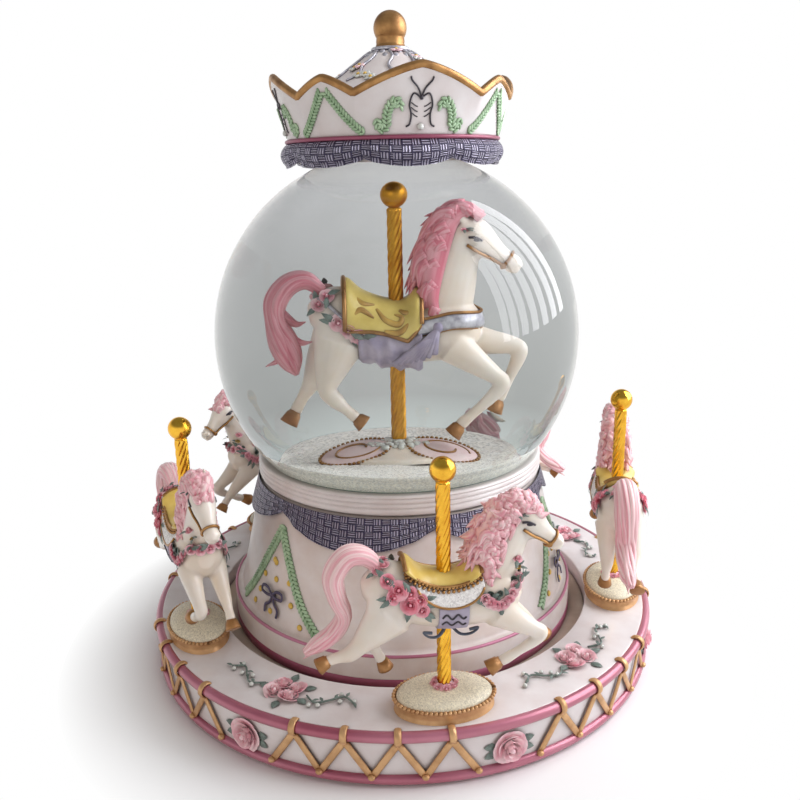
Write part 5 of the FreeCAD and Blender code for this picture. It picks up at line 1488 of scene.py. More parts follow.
@dataclass
class Horse:
    """Cast carousel horse: body, hair, tack and flowers, drawn about its pole with its outer side at -Y."""

    pose: Pose
    leg_side: float = 3.3
    saddle_back: float = -9.2
    saddle_front: float = 7.6
    cloth_back: float = -6.9
    cloth_front: float = 8.1
    cloth_lift: float = 0.6
    girth_back: float = -2.2
    girth_front: float = 4.4
    girth_lift: float = 0.42
    drape_back: float = -8.2
    drape_front: float = 5.4
    sash_knot: float = 8.8
    sash_folds: int = 8
    breast_half: float = 1.7
    chest_front: float = 16.5
    nose_band: float = 0.72
    bridle_half: float = 0.34
    curls: int = 240
    locks: int = 60
    tail_strands: int = 13
    voxel: float = 0.36
    quick_voxel: float = 0.7
    meshes: dict[str, tuple[bpy.types.Mesh, Paint]] = field(default_factory=dict)

    @property
    def garlanded(self) -> bool:
        """Whether this is a ring horse with a garland, rather than the draped one in the globe."""
        return self.pose.dress is Dress.GARLANDED

    def girth_at(self, forward: float) -> tuple[float, float, float]:
        """Middle height, half depth and half width of the barrel."""
        table = smooth_curve(TORSO, 4)
        return tuple(float(np.interp(forward, table[:, 0], table[:, k])) for k in (1, 2, 3))

    def on_barrel(self, forward: float, degrees: float, lift: float = 0.0) -> np.ndarray:
        """Point on the barrel.

        Args:
            forward: Place along the horse.
            degrees: Angle from the top to the outer side.
            lift: Distance off the skin.

        Returns:
            The point.
        """
        up, deep, wide = self.girth_at(forward)
        turn = math.radians(degrees)
        return np.array([forward, -(wide + lift) * math.sin(turn), up + (deep + lift) * math.cos(turn)])

    def row(self, pairs: Iterable[Sequence[float]], side: int, lift: float) -> np.ndarray:
        """Points on one side of the barrel, from pairs of forward position and angle."""
        return np.array([self.on_barrel(s, side * a, lift) for s, a in pairs])

    def on_head(self, forward: float, up: float, side: int, lift: float = 0.0) -> np.ndarray:
        """Point on the side of the head or the neck.

        Args:
            forward: Place along the horse.
            up: Height.
            side: -1 or 1.
            lift: Distance off the skin.

        Returns:
            The point.
        """
        line = np.vstack([smooth_curve(self.pose.head, 6), smooth_curve(self.pose.neck, 6)])
        off = np.hypot(line[:, 0] - forward, line[:, 1] - up) / line[:, 2]
        wide = line[:, 3] * np.sqrt(np.clip(1 - off ** 2, 0.02, 1.0))
        return np.array([forward, side * (float(wide.max()) + lift), up])

    def away(self, point: np.ndarray) -> np.ndarray:
        """Direction away from the barrel, or forward on the front of the chest.

        Args:
            point: A point near the skin.

        Returns:
            Direction of length one.
        """
        up, deep, wide = self.girth_at(point[0])
        if point[0] > self.chest_front or abs(point[1]) < 0.1:
            return unit(np.array([1.0, 0.25 * point[1], 0.2]))
        return unit(np.array([0.0, point[1] / wide ** 2, (point[2] - up) / deep ** 2]))

    def body(self) -> bpy.types.Mesh:
        """One skin over the torso, neck, head, legs and ears.

        Returns:
            The skin's mesh.
        """
        pose = self.pose
        forms = limb(TORSO).join(limb(pose.neck)).join(limb(pose.head))
        legs = ((pose.near_fore, -1), (pose.far_fore, 1), (pose.near_hind, -1), (pose.far_hind, 1))
        for stations, side in legs:
            forms.join(limb(stations, side * self.leg_side))
            root = stations[0]
            forms.join(ellipsoid((root[2] * 0.95, root[3] * 0.9, root[2] * 1.15), 20),
                       facing((root[0], side * 3.1, root[1] + 1.0)))
        jaw, nose = pose.head[2], pose.head[-2]
        forms.join(ellipsoid((2.6, 2.5, 2.6), 18), facing((jaw[0] - 1.5, 0, jaw[1] - 1.0)))
        x, z = pose.ear
        for side in (-1, 1):
            ear = ((x, z - 1.6, 1.1, 0.9), (x + 0.2, z + 0.6, 0.95, 0.8), (x + 0.5, z + 2.8, 0.15, 0.15))
            forms.join(limb(ear, side * 1.5))
            forms.join(ellipsoid((1.4, 0.8, 0.8), 10),
                       facing((pose.eye[0], side * 2.3, pose.eye[1] + 1.0)))
            forms.join(ellipsoid((0.8, 0.6, 0.7), 8),
                       facing((nose[0] + 0.5, side * 1.5, nose[1] + 0.5)))
        return remeshed(forms, "horse_body", self.voxel, 5)

    def mane(self) -> Surface:
        """Mane: a thick crest covered in short flicked curls, or in long waving locks.

        Returns:
            The crest with its hair.
        """
        out = limb(self.pose.mane, sides=36)
        crest = smooth_curve(self.pose.mane, 12)
        runs = np.gradient(crest[:, :2], axis=0)
        chance = np.random.default_rng(SEED + 2)
        for _ in range(self.curls if self.garlanded else self.locks):
            i = int(chance.uniform(0, len(crest) - 1))
            forward, up, deep, wide = crest[i]
            run = unit(runs[i])
            turn = chance.uniform(0.3 * math.pi, 1.7 * math.pi)
            out_of = np.array([-run[1] * math.cos(turn), math.sin(turn), run[0] * math.cos(turn)])
            start = np.array([forward, 0.0, up]) + out_of * (deep, wide, deep) * 0.93
            if self.garlanded:
                fall = unit(np.array([chance.uniform(-0.8, 0.4), 0.0, chance.uniform(-1.0, -0.1)]))
                line = self.curl(start, fall, out_of, chance)
                thick = chance.uniform(0.75, 1.15) * (1 - np.linspace(0, 1, len(line)) ** 2) + 0.08
                out.join(sweep(line, thick, 7))
            else:
                fall = unit(np.array([run[0] - 0.35, 0.0, run[1]]))
                line = self.lock(start, fall, out_of, chance)
                thick = 1.25 * (1 - np.linspace(0, 1, len(line)) ** 2) + 0.1
                out.join(sweep(line, thick, 8, 0.5, np.tile(out_of, (len(line), 1))))
        return out

    @staticmethod
    def curl(start: np.ndarray, fall: np.ndarray, out_of: np.ndarray,
             chance: np.random.Generator) -> np.ndarray:
        """Middle line of a short curl whose tip flicks out.

        Args:
            start: Its root.
            fall: Direction that it falls in.
            out_of: Direction away from the crest.
            chance: Source of its sway.

        Returns:
            Points of the line.
        """
        across = unit(np.cross(fall, out_of)) * chance.choice((-1, 1))
        length, sway = chance.uniform(2.4, 4.0), chance.uniform(0.5, 1.1)
        return np.array([start + fall * (length * t) + across * sway * math.sin(4.4 * t)
                         + out_of * (0.9 * t * t - 0.6 * t) for t in np.linspace(0, 1, 9)])

    @staticmethod
    def lock(start: np.ndarray, fall: np.ndarray, out_of: np.ndarray,
             chance: np.random.Generator) -> np.ndarray:
        """Middle line of a waving lock.

        Args:
            start: Its root.
            fall: Direction that it falls in.
            out_of: Direction away from the crest.
            chance: Source of its sway.

        Returns:
            Points of the line.
        """
        length, sway = chance.uniform(4.0, 7.0), chance.uniform(0.4, 1.0)
        across = unit(np.cross(fall, out_of))
        return np.array([start + fall * (length * t) + across * sway * math.sin(4.2 * t) - out_of * 0.5 * t
                         for t in np.linspace(0, 1, 11)])

    def tail(self) -> Surface:
        """Tail: strands that twist round each other and part at the tip.

        Returns:
            The strands and three loose wisps.
        """
        out = Surface()
        line = smooth_curve(self.pose.tail, 8)
        runs = np.gradient(line[:, :2], axis=0)
        for k in range(self.tail_strands):
            path, thick = [], []
            for i, ((forward, up, deep, wide), run) in enumerate(zip(line, runs)):
                run, along = unit(run), i / (len(line) - 1)
                turn = 2 * math.pi * k / self.tail_strands + 1.8 * along
                reach = 0.64 if k else 0.0
                wave = 0.35 * along * math.sin(16.0 * along + 2.1 * k) - 1.2 * along ** 2
                path.append((forward - run[1] * deep * reach * math.cos(turn),
                             wide * reach * math.sin(turn) + wave,
                             up + run[0] * deep * reach * math.cos(turn)))
                thick.append(0.1 + deep * (0.34 if k else 0.62))
            out.join(sweep(np.array(path), np.array(thick), 10))
        for points, side in zip(self.pose.wisps, (-1.6, 1.8, -0.8)):
            lick = smooth_curve([(x, side * k / 2, z) for k, (x, z) in enumerate(points)], 6)
            out.join(sweep(lick, np.linspace(1.4, 0.1, len(lick)), 9))
        return out

    def hooves(self) -> Surface:
        """Four hooves, flared to flat soles.

        Returns:
            The hooves.
        """
        out = Surface()
        for (x0, z0, x1, z1), side in zip(self.pose.hooves, (-1, 1, -1, 1)):
            start, end = np.array([x0, side * self.leg_side, z0]), np.array([x1, side * self.leg_side, z1])
            path = np.array([start + (end - start) * t for t in (0.0, 0.18, 0.2, 0.75, 1.0, 1.02)])
            out.join(sweep(path, np.array([1.15, 1.3, 1.5, 1.8, 1.95, 1.4]), 14))
        return out

    def pad(self, start: float, end: float, reach: Callable[[float], tuple[float, float]],
            lift: Callable[[float, float], float]) -> Surface:
        """Cloth or leather lying on the barrel.

        Args:
            start: Forward position of its back edge.
            end: Forward position of its front edge.
            reach: Gives the two edge angles at a forward position.
            lift: Gives the height off the barrel at a forward position and an angle.

        Returns:
            A closed sheet that reaches a little into the barrel.
        """
        rows = []
        for s in np.linspace(start, end, 36):
            low, high = reach(s)
            angles = np.linspace(low, high, 31)
            over = [self.on_barrel(s, a, lift(s, a)) for a in angles]
            under = [self.on_barrel(s, a, -0.3) for a in angles[::-1]]
            rows.append(over + under)
        return Surface().net(np.array(rows))

    def flap(self, s: float) -> float:
        """Lower edge of the saddle.

        Args:
            s: Forward position.

        Returns:
            Angle from the top, in degrees.
        """
        if self.garlanded:
            return 28 + 18 * max(1 - ((s + 0.6) / 8.9) ** 2, 0.0) ** 0.5
        return 92 - 7 * math.cos(0.38 * (s + 3.0)) - 10 * max(s - 2.4, 0.0)

    def seat(self, s: float, a: float) -> float:
        """Height of the saddle off the barrel.

        Args:
            s: Forward position.
            a: Angle from the top.

        Returns:
            Height in millimetres.
        """
        ends = 1.5 * math.exp(-((s - self.saddle_back - 0.8) / 1.9) ** 2)
        ends += 2.2 * math.exp(-((s - self.saddle_front + 1.0) / 1.6) ** 2)
        return 0.9 + ends * max(math.cos(math.radians(a)), 0.0) ** 1.2

    def saddle(self) -> Surface:
        """Dished saddle with a raised back and front."""
        return self.pad(self.saddle_back, self.saddle_front, lambda s: (-self.flap(s), self.flap(s)),
                        self.seat)

    @staticmethod
    def hem(s: float) -> float:
        """Angle of the saddle cloth's lower edge at a forward position."""
        return 48 + 34 * max(1 - ((s - 0.6) / 7.6) ** 2, 0.0) ** 0.5

    def cloth(self) -> Surface:
        """Glitter cloth under the saddle, on both sides."""
        return self.pad(self.cloth_back, self.cloth_front, lambda s: (-self.hem(s), self.hem(s)),
                        lambda s, a: self.cloth_lift)

    def edging(self) -> Surface:
        """Gilt edges: beads or a cord on the saddle, and a cord on the cloth.

        Returns:
            The edges of both sides.
        """
        out = Surface()
        lengths = np.linspace(self.saddle_back + 0.1, self.saddle_front - 0.1, 50)
        for side in (-1, 1):
            edge = self.row([(s, self.flap(s)) for s in lengths], side, 0.85)
            if self.garlanded:
                out.join(beads(even(edge, 0.85), 0.46)).join(sweep(edge + (0, 0, 0.45), 0.3, 7))
                below = self.row([(s, self.flap(s) + 6) for s in lengths], side, 0.75)
                out.join(beads(even(below, 1.15), 0.42))
                along = np.linspace(self.cloth_back + 0.1, self.cloth_front - 0.1, 60)
                out.join(sweep(self.row([(s, self.hem(s)) for s in along], side, 0.5), 0.3, 7))
            else:
                out.join(sweep(edge, 0.42, 8))
        for s in (self.saddle_back, self.saddle_front):
            angles = np.linspace(-self.flap(s), self.flap(s), 31)
            out.join(sweep(np.array([self.on_barrel(s, a, self.seat(s, a)) for a in angles]), 0.5, 8))
        return out

    def saddle_leaves(self, side: int) -> Surface:
        """Raised leaves and scrolls on one side of the saddle.

        Args:
            side: -1 or 1.

        Returns:
            The carving.
        """
        out = Surface()
        leaves = (((-9.6, 30), (-7.4, 42), (-4.6, 36)), ((-9.4, 72), (-7.6, 56), (-4.8, 62)),
                  ((-4.2, 44), (-2.4, 60), (0.4, 66), (1.2, 54), (-0.4, 48)),
                  ((0.6, 40), (2.6, 46), (4.2, 30)), ((-2.6, 80), (0.6, 80), (3.0, 62)))
        for points in leaves:
            path = self.row(smooth_curve(points, 8), side, 0.9)
            thick = 0.2 + 0.5 * np.sin(np.linspace(0.25, math.pi, len(path)))
            out.join(sweep(path, thick, 8, 0.6, np.array([self.away(p) for p in path])))
        return out

    def folds(self, s: float, a: float) -> float:
        """Height of the drape's folds off the barrel.

        Args:
            s: Forward position.
            a: Angle from the top.

        Returns:
            Height in millimetres.
        """
        below = min(max((180 - abs(180 - a) - self.flap(s)) / 20, 0.0), 1.0)
        wave = math.sin(1.7 * s + 0.05 * abs(180 - a)) + 0.4 * math.sin(3.1 * s)
        return 0.5 + below * (0.5 + 0.34 * wave) + 0.4 * below * math.exp(-((a - 180) / 60) ** 2)

    def girth(self) -> Surface:
        """Girth round the belly of a garlanded horse, or the folded drape and sash of a draped one.

        Returns:
            The girth or the drape.
        """
        if self.garlanded:
            return self.pad(self.girth_back, self.girth_front, lambda s: (80, 280),
                            lambda s, a: self.girth_lift)
        out = self.pad(self.drape_back, self.drape_front, lambda s: (84, 276), self.folds)
        for side in (-1, 1):
            knot = self.on_barrel(self.sash_knot, side * 80, 0.9)
            for end in np.linspace(-0.6, 7.6, self.sash_folds):
                half = self.on_barrel(0.5 * (end + self.sash_knot), side * (104 - end), 1.5)
                tip = self.on_barrel(end, side * (138 - 2.4 * end), 1.2)
                fold = smooth_curve([knot, half, tip], 6)
                out.join(sweep(fold, np.linspace(0.5, 1.15, len(fold)), 8, 0.7))
            out.join(ellipsoid((1.1, 0.8, 1.2), 10), facing(knot))
        return out

    def breast_line(self, rise: float) -> np.ndarray:
        """Line round the chest from one side of the saddle to the other.

        Args:
            rise: Shift upwards.

        Returns:
            Points of the line.
        """
        line = []
        for side in (-1, 1):
            near = [self.on_barrel(s, side * 74, 0.6) + (0, 0, rise) for s in (4.4, 8.0, 11.6, 14.6)]
            line.append(near + [np.array([17.0, -side * 2.4, 1.9 + rise])])
        return smooth_curve(line[0] + [np.array([17.9, 0.0, 1.8 + rise])] + line[1][::-1], 8)

    def breast(self) -> Surface:
        """Lace breast band of a draped horse."""
        path = self.breast_line(0.0)
        return sweep(path, self.breast_half, 8, 0.3, np.array([self.away(p) for p in path]))

    def trim(self) -> Surface:
        """Dark waved lines on the girth, or the gilt edges of the breast band.

        Returns:
            The lines or the edges.
        """
        out = Surface()
        if not self.garlanded:
            for rise in (-self.breast_half, self.breast_half):
                out.join(sweep(self.breast_line(rise), 0.34, 7))
            return out
        for side in (-1, 1):
            for a in (100, 117):
                wave = [(s, a + 5 * math.sin(2.5 * s)) for s in np.linspace(-1.5, 3.7, 26)]
                out.join(sweep(self.row(wave, side, 0.45), 0.24, 6))
        return out

    def ribbon(self) -> Surface:
        """Ribbon ends that hang in loops under the belly, or the crupper strap of a draped horse.

        Returns:
            The ribbon ends or the strap.
        """
        out = Surface()
        for side in (-1, 1):
            if not self.garlanded:
                line = ((-11.0, 80), (-13.4, 66), (-15.6, 44), (-17.0, 20))
                out.join(sweep(smooth_curve(self.row(line, side, 0.3), 6), 0.8, 7, 0.5))
                continue
            for reach in (-1, 1):
                line = [(0.8, -6.4, 0.4), (0.8 + reach * 2.2, -8.6, 2.4), (0.8 + reach * 4.6, -8.2, 3.6),
                        (0.8 + reach * 6.2, -6.6, 4.2), (0.8 + reach * 4.2, -7.0, 3.9)]
                path = smooth_curve([(x, side * y, z) for x, z, y in line], 6)
                out.join(sweep(path, np.linspace(0.5, 0.35, len(path)), 6, 0.6))
        return out

    def bridle(self) -> Surface:
        """Bridle: nose band, and cheek straps with bosses.

        Returns:
            The bridle.
        """
        out = Surface()
        head = smooth_curve(self.pose.head, 6)
        runs = np.gradient(head[:, :2], axis=0)
        turn = full_turn(32)
        nose = int(self.nose_band * (len(head) - 1))
        forward, up, deep, wide = head[nose] + (0, 0, 0.15, 0.15)
        run = unit(runs[nose])
        ring = np.stack([forward - run[1] * deep * np.cos(turn), wide * np.sin(turn),
                         up + run[0] * deep * np.cos(turn)], 1)
        out.join(sweep(ring, self.bridle_half, 7, loop=True))
        for side in (-1, 1):
            cheek = [head[int(t * (len(head) - 1))] for t in (0.2, 0.38, 0.55, self.nose_band)]
            path = np.array([(f - 0.42 * d, side * w * 0.96, u - 0.42 * d) for f, u, d, w in cheek])
            out.join(sweep(smooth_curve(path, 5), self.bridle_half, 7))
            out.join(ellipsoid((0.75, 0.5, 0.75), 10), facing(path[-1]))
        return out

    def eyes(self) -> Surface:
        """Dark almond eyes set under the brows, drawn out to the back.

        Returns:
            Both eyes.
        """
        out = Surface()
        x, z = self.pose.eye
        for side in (-1, 1):
            lid = [self.on_head(x + dx, z + dz, side, 0.02)
                   for dx, dz in ((-1.8, 0.5), (-0.3, 0.5), (1.1, -0.25))]
            out.join(sweep(smooth_curve(lid, 6), 0.27, 6))
            out.join(ellipsoid((0.85, 0.38, 0.45), 12), facing(self.on_head(x, z, side, -0.12)))
        return out

    def sprays(self) -> list[tuple[Paint, Sequence[np.ndarray], float, int]]:
        """Flower groups: their paint, places, size and leaves to each flower.

        Returns:
            One entry for each group.
        """
        out = []
        x, z = self.pose.eye
        for side in (-1, 1):
            cheek = (self.on_head(x - 2.6, z + 2.0, side, 0.1),)
            out.append((Paint.ROSE, cheek, 0.75, 3))
            if not self.garlanded:
                hip = ((-12.4, 88), (-10.2, 98), (-8.2, 104))
                out.append((Paint.ROSE, self.row(hip, side, 0.2), 1.65, 2))
                out.append((Paint.ROSE, self.row(((-14.6, 40), (-16.4, 52)), side, 0.4), 1.4, 2))
                continue
            out.append((Paint.DEEP_ROSE, self.row(((-10.9, 64), (-8.6, 86)), side, 0.1), 1.9, 1))
            flank = ((-13.2, 50), (-12.2, 78), (-8.4, 66), (-6.4, 74), (-6.0, 92))
            out.append((Paint.DEEP_ROSE, self.row(flank, side, 0.1), 1.45, 2))
            garland = ((8.1, 77), (9.1, 86), (10.2, 93), (11.3, 98), (12.4, 97), (13.5, 91), (14.5, 81),
                       (15.4, 67), (16.2, 46))
            out.append((Paint.ROSE, self.row(garland, side, 0.25), 1.15, 1))
            chest = (np.array([16.6, -side * 3.4, 4.0]), np.array([17.3, -side * 1.2, 3.6]))
            out.append((Paint.ROSE, chest, 1.15, 1))
            out.append((Paint.LEAF, self.row(((9.2, 72), (11.4, 76), (15.2, 52)), side, 0.1), 0.7, 3))
            out.append((Paint.ROSE, (self.on_head(16.0, 8.8, side),), 1.05, 1))
            out.append((Paint.DOT, (self.on_head(16.3, 6.6, side),), 0.7, 2))
            out.append((Paint.ROSE, self.row(((-15.2, 24), (-13.4, 14)), side, 0.2), 1.1, 1))
        return out

    def flowers(self) -> dict[str, tuple[Surface, Paint]]:
        """Roses in their colours, and the leaves that show between them.

        Returns:
            Shape and finish of each colour, by the finish's name.
        """
        out: dict[Paint, Surface] = {Paint.LEAF: Surface()}
        chance = np.random.default_rng(SEED + 3)
        for paint, places, radius, leaves in self.sprays():
            middle = sum(places) / len(places)
            for at in places:
                normal = unit(self.away(at) + chance.uniform(-0.2, 0.2, 3))
                bloom = facing(at, normal, chance.uniform(0, 360))
                out.setdefault(paint, Surface()).join(rose(radius), bloom)
                for _ in range(leaves):
                    along = (at - middle) * 0.5 + chance.uniform(-1.0, 1.0, 3)
                    green = leaf(radius * 1.5 + 0.9, radius * 0.6 + 0.35)
                    out[Paint.LEAF].join(green, lying(at + unit(along) * 0.5 * radius, self.away(at), along))
        return {paint.value.name: (shape, paint) for paint, shape in out.items()}

    def make(self) -> None:
        """Makes every piece's mesh once, ready to be placed as often as needed."""
        hair = Paint.HAIR if self.garlanded else Paint.INNER_HAIR
        yellow = Paint.YELLOW if self.garlanded else Paint.INNER_YELLOW
        shapes = {
            "mane": (self.mane(), hair), "tail": (self.tail(), hair), "hooves": (self.hooves(), Paint.HOOF),
            "saddle": (self.saddle(), yellow), "edging": (self.edging(), Paint.OLD_GOLD),
            "girth": (self.girth(), Paint.LILAC), "bridle": (self.bridle(), Paint.OLD_GOLD),
            "trim": (self.trim(), Paint.INK if self.garlanded else Paint.OLD_GOLD),
            "ribbon": (self.ribbon(), Paint.RIBBON if self.garlanded else Paint.SILVER),
            "eyes": (self.eyes(), Paint.INK), **self.flowers(),
        }
        if self.garlanded:
            shapes["cloth"] = (self.cloth(), Paint.GLITTER)
        else:
            shapes["breast"] = (self.breast(), Paint.SILVER)
            shapes["carving"] = (self.saddle_leaves(1).join(self.saddle_leaves(-1)), Paint.CARVING)
        self.meshes = {key: (shape.mesh("horse_" + key), paint) for key, (shape, paint) in shapes.items()}
        self.meshes["body"] = (self.body(), Paint.HORSE)

    def put(self, name: str, body: Body, place: Matrix, node: str) -> None:
        """Places a copy of the horse.

        Args:
            name: Start of its pieces' names.
            body: CAD body that it moves with.
            place: Where it goes, in metres.
            node: CAD node that its body stands for.
        """
        for key, (mesh, paint) in self.meshes.items():
            show(name + "_" + key, mesh, paint, body, place, (node,) if key == "body" else ())


@dataclass
class HorseRing:
    """Turning ring: its white deck and wall, pink rails, gilt lattice, roses, plinths, poles and horses."""

    bore: float = 54.5
    outer: float = 71.4
    top: float = 14.2
    count: int = 5
    first: float = 8.5
    circle: float = 62.2
    centre: float = 42.63
    rail: float = 12.9
    rail_thick: float = 1.35
    hem: float = 1.75
    hem_thick: float = 1.25
    bays: int = 7
    first_rose: float = 11.0
    rose_height: float = 6.6
    rose_radius: float = 3.7
    knots: int = 4
    first_strap: float = 6.24
    strap_step: float = 4.86
    strap_low: float = 2.6
    strap_high: float = 11.6
    strap_half: float = 0.88
    strap_flat: float = 0.4
    clip_half: float = 0.85
    clip_radius: float = 1.75
    vine_half: float = 0.24
    plinth_radius: float = 11.9
    plinth_squeeze: float = 0.65
    plinth_roses: int = 8
    shoulder: float = 69.8
    pole_radius: float = 1.6
    ball: float = 72.5
    ball_radius: float = 2.95

    def bay(self, index: int) -> float:
        """Angle of the rose before a bay of the lattice."""
        return self.first + self.first_rose + 360.0 * index / self.bays

    def build(self) -> None:
        """Makes every piece of the ring."""
        wall = rounded(((self.bore, 3.0), (self.bore, self.top), (self.outer - 0.6, self.top),
                        (self.outer - 0.2, 11.0), (self.outer - 0.2, 1.2), (self.outer - 4.0, 1.0)), 0.5)
        show("ring_deck", lathe(wall, 256), Paint.WHITE, Body.RING, replaces=("horse_ring",))
        rail = hoop(self.outer - 0.1, self.rail, self.rail_thick, 256)
        show("ring_rail", rail, Paint.MAUVE, Body.RING)
        hem = hoop(self.outer - 0.25, self.hem, self.hem_thick, 256)
        show("ring_hem", hem, Paint.MAUVE, Body.RING)
        self.lattice()
        self.side_flowers()
        self.top_flowers()
        self.riders()

    def lattice(self) -> None:
        """Zigzag straps on the wall, with clips over the rail and knots at the foot."""
        straps, knots = Surface(), Surface()
        step, low, high = self.strap_step, self.strap_low, self.strap_high
        for b in range(self.bays):
            start = self.bay(b) + self.first_strap
            for k in range(2 * self.knots):
                ends = (high, low) if k % 2 else (low, high)
                line = np.array([round_point(self.outer + 0.45, start + (k + t) * step,
                                             ends[0] + (ends[1] - ends[0]) * t)
                                 for t in np.linspace(0, 1, 7)])
                straps.join(sweep(line, self.strap_half, 8, self.strap_flat, line * LEVEL))
            for k in range(self.knots):
                degrees = start + (2 * k + 1) * step
                middle = round_point(self.outer - 0.1, degrees, self.rail)
                bends = np.array([round_point(self.clip_radius * math.cos(a), degrees,
                                              self.clip_radius * math.sin(a))
                                  for a in np.linspace(-1.25, 2.6, 13)])
                straps.join(sweep(middle + bends, self.clip_half, 8, self.strap_flat, bends))
            for k in range(self.knots + 1):
                at = round_point(self.outer + 0.9, start + 2 * k * step, 2.9)
                knots.join(ellipsoid((0.9, 0.7, 0.8), 10), facing(at, at * LEVEL))
        show("ring_lattice", straps, Paint.STRAP_GOLD, Body.RING, replaces=("lattice_straps",))
        show("ring_lattice_knots", knots, Paint.STRAP_GOLD, Body.RING)

    def side_flowers(self) -> None:
        """A rose with leaves each side between the bays of the lattice."""
        petals, green = Surface(), Surface()
        for b in range(self.bays):
            at = round_point(self.outer - 0.3, self.bay(b), self.rose_height)
            out = at * LEVEL
            across = unit(np.cross(UP, out))
            petals.join(rose(self.rose_radius), facing(at, out, 40 * b))
            for spin in (20, 160, 205, 335):
                turn = math.radians(spin)
                along = unit(across * math.cos(turn) + np.array([0, 0, 0.55]) * math.sin(turn))
                green.join(leaf(3.4, 2.2, 0.12), lying(at + along * 3.2, out, along))
        show("ring_side_roses", petals, Paint.ROSE, Body.RING, replaces=("side_roses",))
        show("ring_side_leaves", green, Paint.LEAF, Body.RING)

    def on_deck(self, middle: float, along: float, across: float, lift: float) -> np.ndarray:
        """Point over the deck, along and across its circle from a middle angle."""
        return round_point(self.circle + across, middle + math.degrees(along / self.circle), self.top + lift)

    def top_flowers(self) -> None:
        """Sprays of roses, leaves, vines and buds on the deck between the horses."""
        petals, green, vines, buds = Surface(), Surface(), Surface(), Surface()
        chance = np.random.default_rng(SEED + 5)
        spray = ((-2.3, 1.5, 2.3), (-2.0, -1.8, 2.4), (2.1, 1.8, 2.4), (2.3, -1.6, 2.3))
        sprigs = ((-4.2, 0.4), (4.4, 1.6), (0.6, 4.0), (4.0, -2.2), (-0.4, -3.6))
        vine = ((6.0, 0.0, 0.4), (9.0, 2.2, 0.7), (12.0, 0.4, 0.6), (15.0, -1.6, 0.7), (18.0, 0.2, 0.5))
        pitch = 360.0 / self.count
        for k in range(self.count):
            middle = self.first + pitch / 2 + pitch * k
            for along, across, radius in spray:
                at = self.on_deck(middle, along, across, -0.1)
                tilt = (chance.uniform(-0.3, 0.3), chance.uniform(-0.3, 0.3), 1.0)
                petals.join(rose(radius), facing(at, tilt, chance.uniform(0, 360)))
            heart = self.on_deck(middle, 0.0, 0.0, 0.0)
            for along, across in sprigs:
                at = self.on_deck(middle, along, across, 0.1)
                green.join(leaf(3.2, 2.0), lying(at, UP, at - heart))
            for side in (-1, 1):
                path = np.array([self.on_deck(middle, side * x, y, z) for x, y, z in smooth_curve(vine, 6)])
                vines.join(sweep(path, self.vine_half, 6))
                for at in even(path, 3.0)[1:]:
                    shift = chance.uniform(-1.4, 1.4, 3) * LEVEL
                    buds.join(ellipsoid((0.6, 0.6, 0.55), 8), facing(at + shift))
                    green.join(leaf(1.9, 0.8), facing(at, UP, chance.uniform(0, 360)))
        show("ring_top_roses", petals, Paint.ROSE, Body.RING, replaces=("rose_sprays",))
        show("ring_top_leaves", green, Paint.LEAF, Body.RING)
        show("ring_vines", vines, Paint.LEAF, Body.RING)
        show("ring_buds", buds, Paint.PEARL, Body.RING)

    def plinth_pieces(self) -> dict[str, tuple[Surface, Paint]]:
        """Oval plinth drawn about its pole: gilt side, beaded edge, glitter top and a ring of roses.

        Returns:
            Shape and finish of each of its pieces, by name.
        """
        r, foot, squeeze = self.plinth_radius, self.top, self.plinth_squeeze
        side = oval(rounded(((r, foot), (r - 0.6, foot + 0.9), (r - 0.6, foot + 2.2), (r, foot + 2.8),
                             (r - 0.7, foot + 3.3)), 0.3), squeeze)
        dome = oval([((r - 0.6) * math.cos(a), foot + 3.2 + 2.6 * math.sin(a))
                     for a in np.linspace(0, 1.5, 14)], squeeze)
        turn = np.linspace(0, 2 * math.pi, 240)
        edge = np.stack([r * np.cos(turn), r * squeeze * np.sin(turn), np.full(240, foot + 3.1)], 1)
        petals = Surface()
        for k in range(self.plinth_roses):
            a = 2 * math.pi * k / self.plinth_roses
            at = (2.6 * math.cos(a), 2.4 * math.sin(a), foot + 5.4)
            petals.join(rose(1.25), facing(at, (at[0], at[1], 3.5), 30 * k))
        return {"side": (side.join(beads(even(edge, 1.05), 0.52)), Paint.STRAP_GOLD),
                "dome": (dome, Paint.CREAM_GLITTER), "roses": (petals, Paint.ROSE)}

    def riders(self) -> None:
        """Stands a plinth, a pole and a horse at each place."""
        horse = Horse(GALLOP)
        horse.make()
        rod = Pole(self.top, self.shoulder, self.ball, self.pole_radius, self.ball_radius)
        pole = rod.build().mesh("ring_pole")
        plinth = {key: (shape.mesh("plinth_" + key), paint)
                  for key, (shape, paint) in self.plinth_pieces().items()}
        lift = Matrix.Translation(Vector((0, 0, self.centre * MM)))
        for i in range(self.count):
            degrees = self.first + 360.0 * i / self.count
            turn = Matrix.Rotation(math.radians(degrees), 4, "Z")
            foot = Matrix.Translation(Vector(round_point(self.circle, degrees, 0.0)) * MM) @ turn
            for key, (mesh, paint) in plinth.items():
                node = ("horse_plinths",) if key == "side" and i == 0 else ()
                show("plinth_%d_%s" % (i + 1, key), mesh, paint, Body.RING, foot, node)
            show("ring_pole_%d" % (i + 1), pole, Paint.GOLD, Body.RING, foot, ("pole_%d" % (i + 1),))
            horse.put("rider_%d" % (i + 1), Body.RING, foot @ lift, "horse_%d" % (i + 1))


